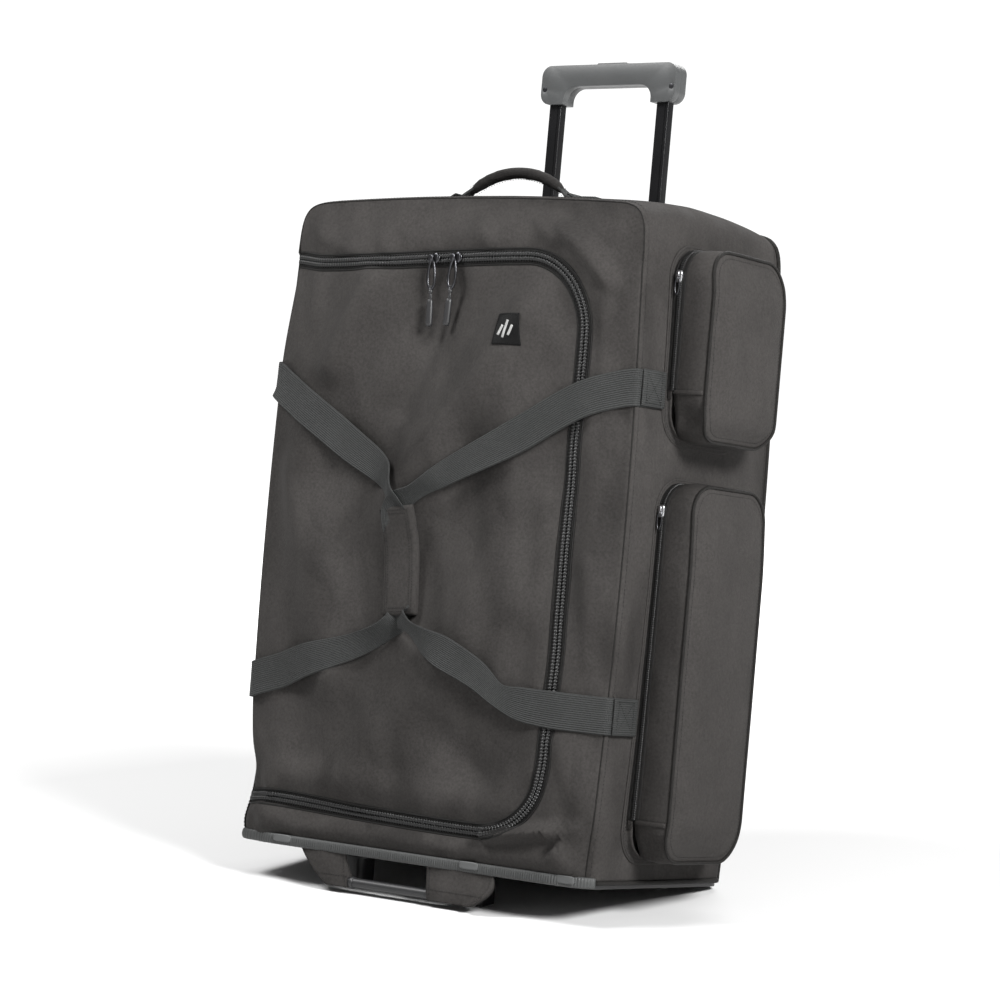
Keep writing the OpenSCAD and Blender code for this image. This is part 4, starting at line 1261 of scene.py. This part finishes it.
def tray_front(y_stop, out, z, step):
    """Round the front of the tray from the left side at y_stop to the right side."""
    r, w, d = TRAY_R, HALF_W, HALF_D
    pts = [(-w, y_stop)]
    for cx, a0 in ((-w + r, 180), (w - r, 270)):
        for a in np.radians(np.linspace(a0, a0 + 90, 16)):
            pts.append((cx + r * math.cos(a), -d + r + r * math.sin(a)))
    pts.append((w, y_stop))
    xy = resample(pts, step=step)
    p = np.stack([xy[:, 0], xy[:, 1], np.full(len(xy), z)], 1)
    t = tangents(p)
    n = np.stack([t[:, 1], -t[:, 0], 0 * t[:, 0]], 1)
    return p + n * out, n


def make_trim():
    """Ribbed edging along the front, plain bound edges along the sides, and grey clips."""
    p, n = tray_front(-0.100, 0.0008, TRIM_Z, TRIM_STEP)
    keep = (p[:, 0] < 0.100) | (p[:, 1] < -0.118)
    p, n = p[keep], n[keep]
    p[:, 0] -= 0.017 * ease((-0.190 - p[:, 0]) / 0.04)
    p[:, 1] -= 0.006 * ease((0.22 - np.abs(p[:, 0])) / 0.03)
    ribs = 0.0007 * np.cos(2 * math.pi * np.arange(len(p)) * TRIM_STEP / 0.0030)
    a = np.linspace(-math.pi / 2, math.pi / 2, 12)
    section = [(0.0060 * math.sin(u), 0.0034 * math.cos(u) ** 0.6) for u in a]
    section += [(0.0060, -0.004), (-0.0060, -0.004)]
    verts, faces, _ = sweep(p, n, section)
    shape = np.array([max(0.0, math.cos(u)) for u in a] + [0, 0])
    verts = verts.reshape(len(p), len(section), 3) + n[:, None] * (ribs[:, None] * shape)[..., None]
    obj = add_object("edge_trim_ribbed", verts.reshape(-1, 3), faces, M_TRIM, "root")
    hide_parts("edge_trim")
    cord = Parts()
    for s, y_front in ((-1, -0.098), (1, -0.120)):
        line = side(s, np.linspace(y_front, 0.118, 90), SKIRT_Z, 0.0004)
        cord.add(*sweep(line, facing(line, s, 0, 0), circle_section(0.0028, 10)))
    cord.build("edge_binding", M_PIPING, "root")
    clips = Parts()
    for x in (-0.176, 0.088, 0.212):
        clips.add(*pillow((x, -HALF_D - 0.0104 + 0.004 * (x > 0.2), 0.0085), (0.0125, 0.0016, 0.0042), 5.0))
    obj = clips.build("trim_clips", M_CLIP, "root")
    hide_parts("edge_clips")


LEAN = math.atan2(-AXES[1][2], AXES[1][1])
DROP = np.array([0.0, math.sin(LEAN), -math.cos(LEAN)])     # straight down, in the bag's frame
HANDLE_SEAM = np.array([LOW_X, -HALF_D - 0.006, 0.002])
BAR_DROP = 0.032
BAR_HALF = 0.056


def make_bottom_bar():
    """The moulded bar with a collar at each wing."""
    bar = Parts()
    centre = HANDLE_SEAM + DROP * BAR_DROP

    def rod(x0, x1, count, r):
        line = centre + np.linspace(x0, x1, count)[:, None] * (1, 0, 0)
        bar.add(*sweep(line, front_normals(line), circle_section(r, 16)))
    rod(-BAR_HALF - 0.012, BAR_HALF + 0.012, 40, 0.0056)
    for s in (-1, 1):
        rod(s * (BAR_HALF - 0.002), s * (BAR_HALF - 0.002) + 0.004, 4, 0.0066)
    obj = bar.build("bottom_handle_bar_moulded", M_BLACK, "bottom_handle")
    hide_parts("bottom_handle_bar")


def make_bottom_wings():
    """Two folded fabric wings that hang from the front edge and hold the bar."""
    wings, thread = Parts(), Parts()
    nu, nv = 40, 26
    u, v = np.meshgrid(np.linspace(0, 1, nu), np.linspace(0, 1, nv), indexing="ij")
    for s, reach, low_reach, top_in, fold in ((-1, 0.126, 0.086, 0.062, 0.0),
                                              (1, 0.142, 0.116, 0.052, 0.010)):
        outer = reach + (low_reach - reach) * v ** 1.3 + fold * np.sin(math.pi * v)
        inner = top_in + (BAR_HALF - top_in) * ease(v)
        deep = 0.0062 * np.sin(math.pi / 2 * v) ** 2 + 0.0022 * np.sin(math.pi * u) * (1 - 0.6 * v) + 0.0008
        curl = fold * 0.8 * np.clip((u - 0.78) / 0.22, 0, 1) ** 2 * v
        x = s * (inner + (outer - inner) * u)
        sheets = []
        for sign in (-1, 1):
            p = HANDLE_SEAM + DROP * (v * (BAR_DROP + 0.006))[..., None]
            p = p + np.stack([x, sign * deep - curl, 0 * u], -1)
            p[..., 1] += 0.0008 * wave_noise(p[..., 0], sign, p[..., 2], 0.018, 5.0)
            sheets.append(p)
        # the two sheets, then the strips that close their edges
        base, back = len(wings.verts), nu * nv
        for p, flip in zip(sheets, (s < 0, s > 0)):
            wings.add(p.reshape(-1, 3), grid_faces(nu, nv, flip=flip))
        edges = [[i * nv + j for j in range(nv)] for i in (0, nu - 1)]
        edges += [[i * nv + j for i in range(nu)] for j in (nv - 1, 0)]
        for edge in edges:
            for i, j in zip(edge, edge[1:]):
                wings.faces.append((base + i, base + j, base + back + j, base + back + i))
        for line in (sheets[0][2], sheets[0][nu - 3], sheets[0][:, 17]):
            line = line + (0, -0.0003, 0)
            stitches(thread, line, front_normals(line), **CLOSE_THREAD)
    obj = wings.build("bottom_handle_folds", M_FABRIC, "bottom_handle")
    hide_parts("bottom_handle_wings")
    thread.build("bottom_handle_stitching", M_THREAD_DARK, "bottom_handle")


make_trim()
make_bottom_bar()
make_bottom_wings()


# ---- top handle ------------------------------------------------------------------------------------

HANDLE_Y = -0.048
HANDLE_Z = TOP + 0.007
HANDLE_SPAN = 0.084             # half the distance between its ends
HANDLE_RISE = 0.040


def handle_arc(count, reach=1.0):
    """The middle line of the top handle, from left to right, and its upward normals."""
    big_r = (HANDLE_SPAN ** 2 + HANDLE_RISE ** 2) / (2 * HANDLE_RISE)
    half = math.asin(HANDLE_SPAN / big_r) * reach
    a = np.linspace(-half, half, count)
    line = np.stack([big_r * np.sin(a), np.full(count, HANDLE_Y),
                     HANDLE_Z + HANDLE_RISE - big_r + big_r * np.cos(a)], 1)
    return line, unit(line - (0, HANDLE_Y, -0.2))


def blow_up(obj, pressure, voxel=0.005, frames=20, cap=0.0022):
    """Fills a sewn cover like a pad: remesh it, then let cloth settle under inside pressure. No
    point moves further than cap."""
    m = obj.modifiers.new("remesh", "REMESH")
    m.mode, m.voxel_size = "VOXEL", voxel
    bpy.context.view_layer.objects.active = obj
    obj.select_set(True)
    bpy.ops.object.modifier_apply(modifier=m.name)
    rest = np.array([v.co for v in obj.data.vertices], float)
    cloth = obj.modifiers.new("cloth", "CLOTH")
    cloth.settings.use_pressure = True
    cloth.settings.uniform_pressure_force = pressure
    cloth.settings.effector_weights.gravity = 0.0
    cloth.settings.quality = 6
    cloth.settings.tension_stiffness = cloth.settings.compression_stiffness = 20
    cloth.settings.bending_stiffness = 0.6
    cloth.point_cache.frame_start, cloth.point_cache.frame_end = 1, frames
    scene = bpy.context.scene
    for f in range(1, frames + 1):
        scene.frame_set(f)
    shape = obj.evaluated_get(bpy.context.evaluated_depsgraph_get())
    move = np.array([v.co for v in shape.data.vertices], float) - rest
    obj.modifiers.remove(cloth)
    scene.frame_set(1)
    length = np.maximum(np.linalg.norm(move, axis=1, keepdims=True), 1e-9)
    obj.data.vertices.foreach_set("co", (rest + move * np.minimum(1.0, cap / length)).ravel())
    smooth = obj.modifiers.new("smooth", "SUBSURF")
    smooth.levels = smooth.render_levels = 1
    bpy.ops.object.modifier_apply(modifier=smooth.name)
    obj.data.polygons.foreach_set("use_smooth", [True] * len(obj.data.polygons))
    obj.select_set(False)


def make_handle_pad():
    """The padded grip, with stitches along its lower seam and its sides."""
    line, n = handle_arc(90, 0.72)
    t, sides = np.linspace(-1, 1, len(line)), 28
    a = np.linspace(0, 2 * math.pi, sides, endpoint=False)
    c, s = np.cos(a), np.sin(a)
    r = 0.0078 * (1 - np.abs(t) ** 10 * 0.45)
    bumps = 1 + 0.035 * wave_noise(np.repeat(t[:, None], sides, 1) * 3, c[None], s[None], 0.35, 2.0)
    ring = np.array([0.0, 1.12, 0.0]) * c[:, None] + n[:, None] * s[None, :, None] * 0.92
    verts = (line[:, None] + ring * (r[:, None] * bumps)[..., None]).reshape(-1, 3)
    last = (len(line) - 1) * sides
    faces = grid_faces(len(line), sides, False, True)
    faces += [tuple(range(sides)), tuple(last + j for j in range(sides))]
    pad = add_object("top_handle_pad", verts, faces, M_FABRIC_DARK, None)
    blow_up(pad, 4.0)
    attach(pad, "top_handle")
    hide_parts("top_handle_grip")
    thread = Parts()
    line, n = line[4:-4], n[4:-4]
    for s in (-1, 1):
        stitches(thread, line + n * -0.0072 + (0, s * 0.0030, 0), -n, **FINE_THREAD)
        stitches(thread, line + n * 0.0010 + (0, s * 0.0090, 0), facing(line, 0, s, 0), **FINE_THREAD)
    thread.build("top_handle_stitching", M_THREAD_DARK, "top_handle")


def make_handle_webbing():
    """The webbing through the pad, flattened where it meets the bag."""
    arc, n = handle_arc(80)
    width = 0.010 + 0.012 * ease((np.abs(np.linspace(-1, 1, 80)) - 0.62) / 0.3)
    strap = Parts()
    strap.add(*sweep(arc, n, strip_section(0.022, 0.0030, 7, 0.0002), scale=width / 0.022))
    obj = strap.build("top_handle_strap", M_WEBBING, "top_handle")
    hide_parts("top_handle_webbing")


def make_handle_anchors():
    """The tabs that hold the webbing, sewn to the top with a boxed cross."""
    tabs, thread = Parts(), Parts()
    y = np.full(30, HANDLE_Y)
    for s in (-1, 1):
        x = s * np.linspace(HANDLE_SPAN - 0.006, HANDLE_SPAN + 0.032, 30)
        z = TOP + CROWN * np.clip(1 - (x / 0.2) ** 2, 0, 1)
        rise = 0.004 * hump((np.abs(x) - HANDLE_SPAN + 0.006) / 0.006)
        p = np.stack([x, y, z + gusset_out(x, y, z) + 0.0016 + rise], 1)
        tabs.add(*sweep(p, facing(p, 0, 0, 1), strip_section(0.025, 0.0026, 8, 0.0002)))

        def place(u, v, p=p):
            q = np.stack([np.interp(u, (0, 1), (p[8, 0], p[-3, 0])), HANDLE_Y + (v - 0.5) * 0.018, 0 * u], 1)
            q[:, 2] = np.interp(np.abs(q[:, 0]), np.abs(p[:, 0]), p[:, 2]) + 0.0016
            return q, facing(q, 0, 0, 1)
        sewn_box(thread, place, 0.0, 1.0, 0.0, 1.0)
    obj = tabs.build("top_handle_anchors", M_WEBBING, "root")
    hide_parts("top_handle_tabs")
    thread.build("top_handle_anchor_stitching", M_THREAD_DARK, "root")


make_handle_pad()
make_handle_webbing()
make_handle_anchors()


# ---- carried-over CAD nodes ----------------------------------------------------------------------------


def finish_node(name, material, bevel):
    """Gives a CAD node its material and softly broken edges."""
    obj = NODE[name]
    obj.data.materials.clear()
    obj.data.materials.append(material)
    weld = obj.modifiers.new("weld", "WELD")
    weld.merge_threshold = 0.00002
    if bevel:
        m = obj.modifiers.new("bevel", "BEVEL")
        m.width, m.segments, m.limit_method, m.angle_limit = bevel, 2, "ANGLE", math.radians(32)
    split = obj.modifiers.new("split_sharp_edges", "EDGE_SPLIT")
    split.split_angle = math.radians(32)
    obj.data.polygons.foreach_set("use_smooth", [True] * len(obj.data.polygons))


for nodes, material, bevel in (
        (("base_tray",), M_BLACK, 0.0008),
        (("base_board", "back_board"), M_BOARD, 0.0004),
        (("wheel_housing_left", "wheel_housing_right", "front_feet"), M_BLACK, 0.0012),
        (("top_bracket", "bottom_bracket"), M_BLACK, 0.0008),
        (("axles", "frame_screws", "release_rods"), M_STEEL, 0.0002),
        (("grip_screws",), M_GUNMETAL, 0.0002),
        (("button_spring",), M_STEEL, 0.0),
        (("bearings_left", "bearings_right"), M_STEEL, 0.0003),
        (("outer_tube_left", "outer_tube_right", "inner_tube_left", "inner_tube_right"), M_TUBE, 0.0),
        (("guide_blocks", "grip_front_shell", "grip_rear_shell"), M_GRIP, 0.0016),
        (("release_button",), M_BLACK, 0.0008),
        (("tyre_left", "tyre_right"), M_RUBBER, 0.0006),
        (("hub_left", "hub_right"), M_GRIP, 0.0005)):
    for node_name in nodes:
        finish_node(node_name, material, bevel)


# ---- the lid's pieces are baked in place, and the lid gets its thickness -------------------------

for piece in LID_PIECES:
    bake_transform(piece)
thicken(LID)


# ---- floor, light and camera ----------------------------------------------------------------


def area_light(name, place, aim, size, watts):
    data = bpy.data.lights.new(name, "AREA")
    data.shape, data.size, data.energy = "DISK", size, watts
    obj = bpy.data.objects.new(name, data)
    bpy.context.scene.collection.objects.link(obj)
    obj.location = place
    obj.rotation_euler = (Vector(aim) - Vector(place)).to_track_quat("-Z", "Y").to_euler()


def make_floor():
    """A pale floor that glows more with distance, so that its far edge meets the backdrop."""
    floor_mesh = bpy.data.meshes.new("floor")
    reach = 60.0
    floor_mesh.from_pydata([(-reach, -reach, 0), (reach, -reach, 0), (reach, reach, 0), (-reach, reach, 0)],
                           [], [(0, 1, 2, 3)])
    floor = bpy.data.objects.new("floor", floor_mesh)
    bpy.context.scene.collection.objects.link(floor)
    s = Shader("floor_white", 0.9, specular=0.0)
    s.bsdf.inputs["Base Color"].default_value = (0.64, 0.64, 0.64, 1)
    s.bsdf.inputs["Emission Color"].default_value = (1, 1, 1, 1)
    away = s.add("ShaderNodeVectorMath", props={"operation": "LENGTH"}, i0=s.position()).outputs["Value"]
    glow = s.add("ShaderNodeMapRange", Value=away, From_Min=0.9, From_Max=2.4, To_Min=0.0, To_Max=0.95)
    s.tree.links.new(glow.outputs[0], s.bsdf.inputs["Emission Strength"])
    floor_mesh.materials.append(s.material)


def make_lights():
    """A white backdrop, seen brighter than it lights the bag, and three soft lamps."""
    studio = bpy.data.worlds.new("studio")
    studio.use_nodes = True
    tree = studio.node_tree
    back = tree.nodes["Background"]
    back.inputs["Color"].default_value = (1.0, 1.0, 1.0, 1)
    ray, seen = tree.nodes.new("ShaderNodeLightPath"), tree.nodes.new("ShaderNodeMapRange")
    seen.inputs["To Min"].default_value, seen.inputs["To Max"].default_value = 0.22, 1.1
    tree.links.new(ray.outputs["Is Camera Ray"], seen.inputs["Value"])
    tree.links.new(seen.outputs[0], back.inputs["Strength"])
    scene = bpy.context.scene
    scene.world = studio
    scene.view_settings.view_transform = "Standard"
    area_light("key", (3.5, -1.2, 2.6), (0, 0, 0.35), 1.3, 330)
    area_light("front", (-1.6, -1.3, 3.2), (0, 0, 0.30), 1.3, 130)
    area_light("back", (-0.5, 3.0, 3.0), (0, 0, 0.3), 2.0, 90)


def make_camera():
    data = bpy.data.cameras.new("camera")
    data.lens, data.sensor_width = 118.2, 36.0
    data.clip_end = 60.0
    camera = bpy.data.objects.new("camera", data)
    bpy.context.scene.collection.objects.link(camera)
    camera.location = (2.176, -2.981, 0.749)
    camera.rotation_euler = (math.radians(90 - 4.94), 0, math.radians(36.74))
    bpy.context.scene.camera = camera


make_floor()
make_lights()
make_camera()
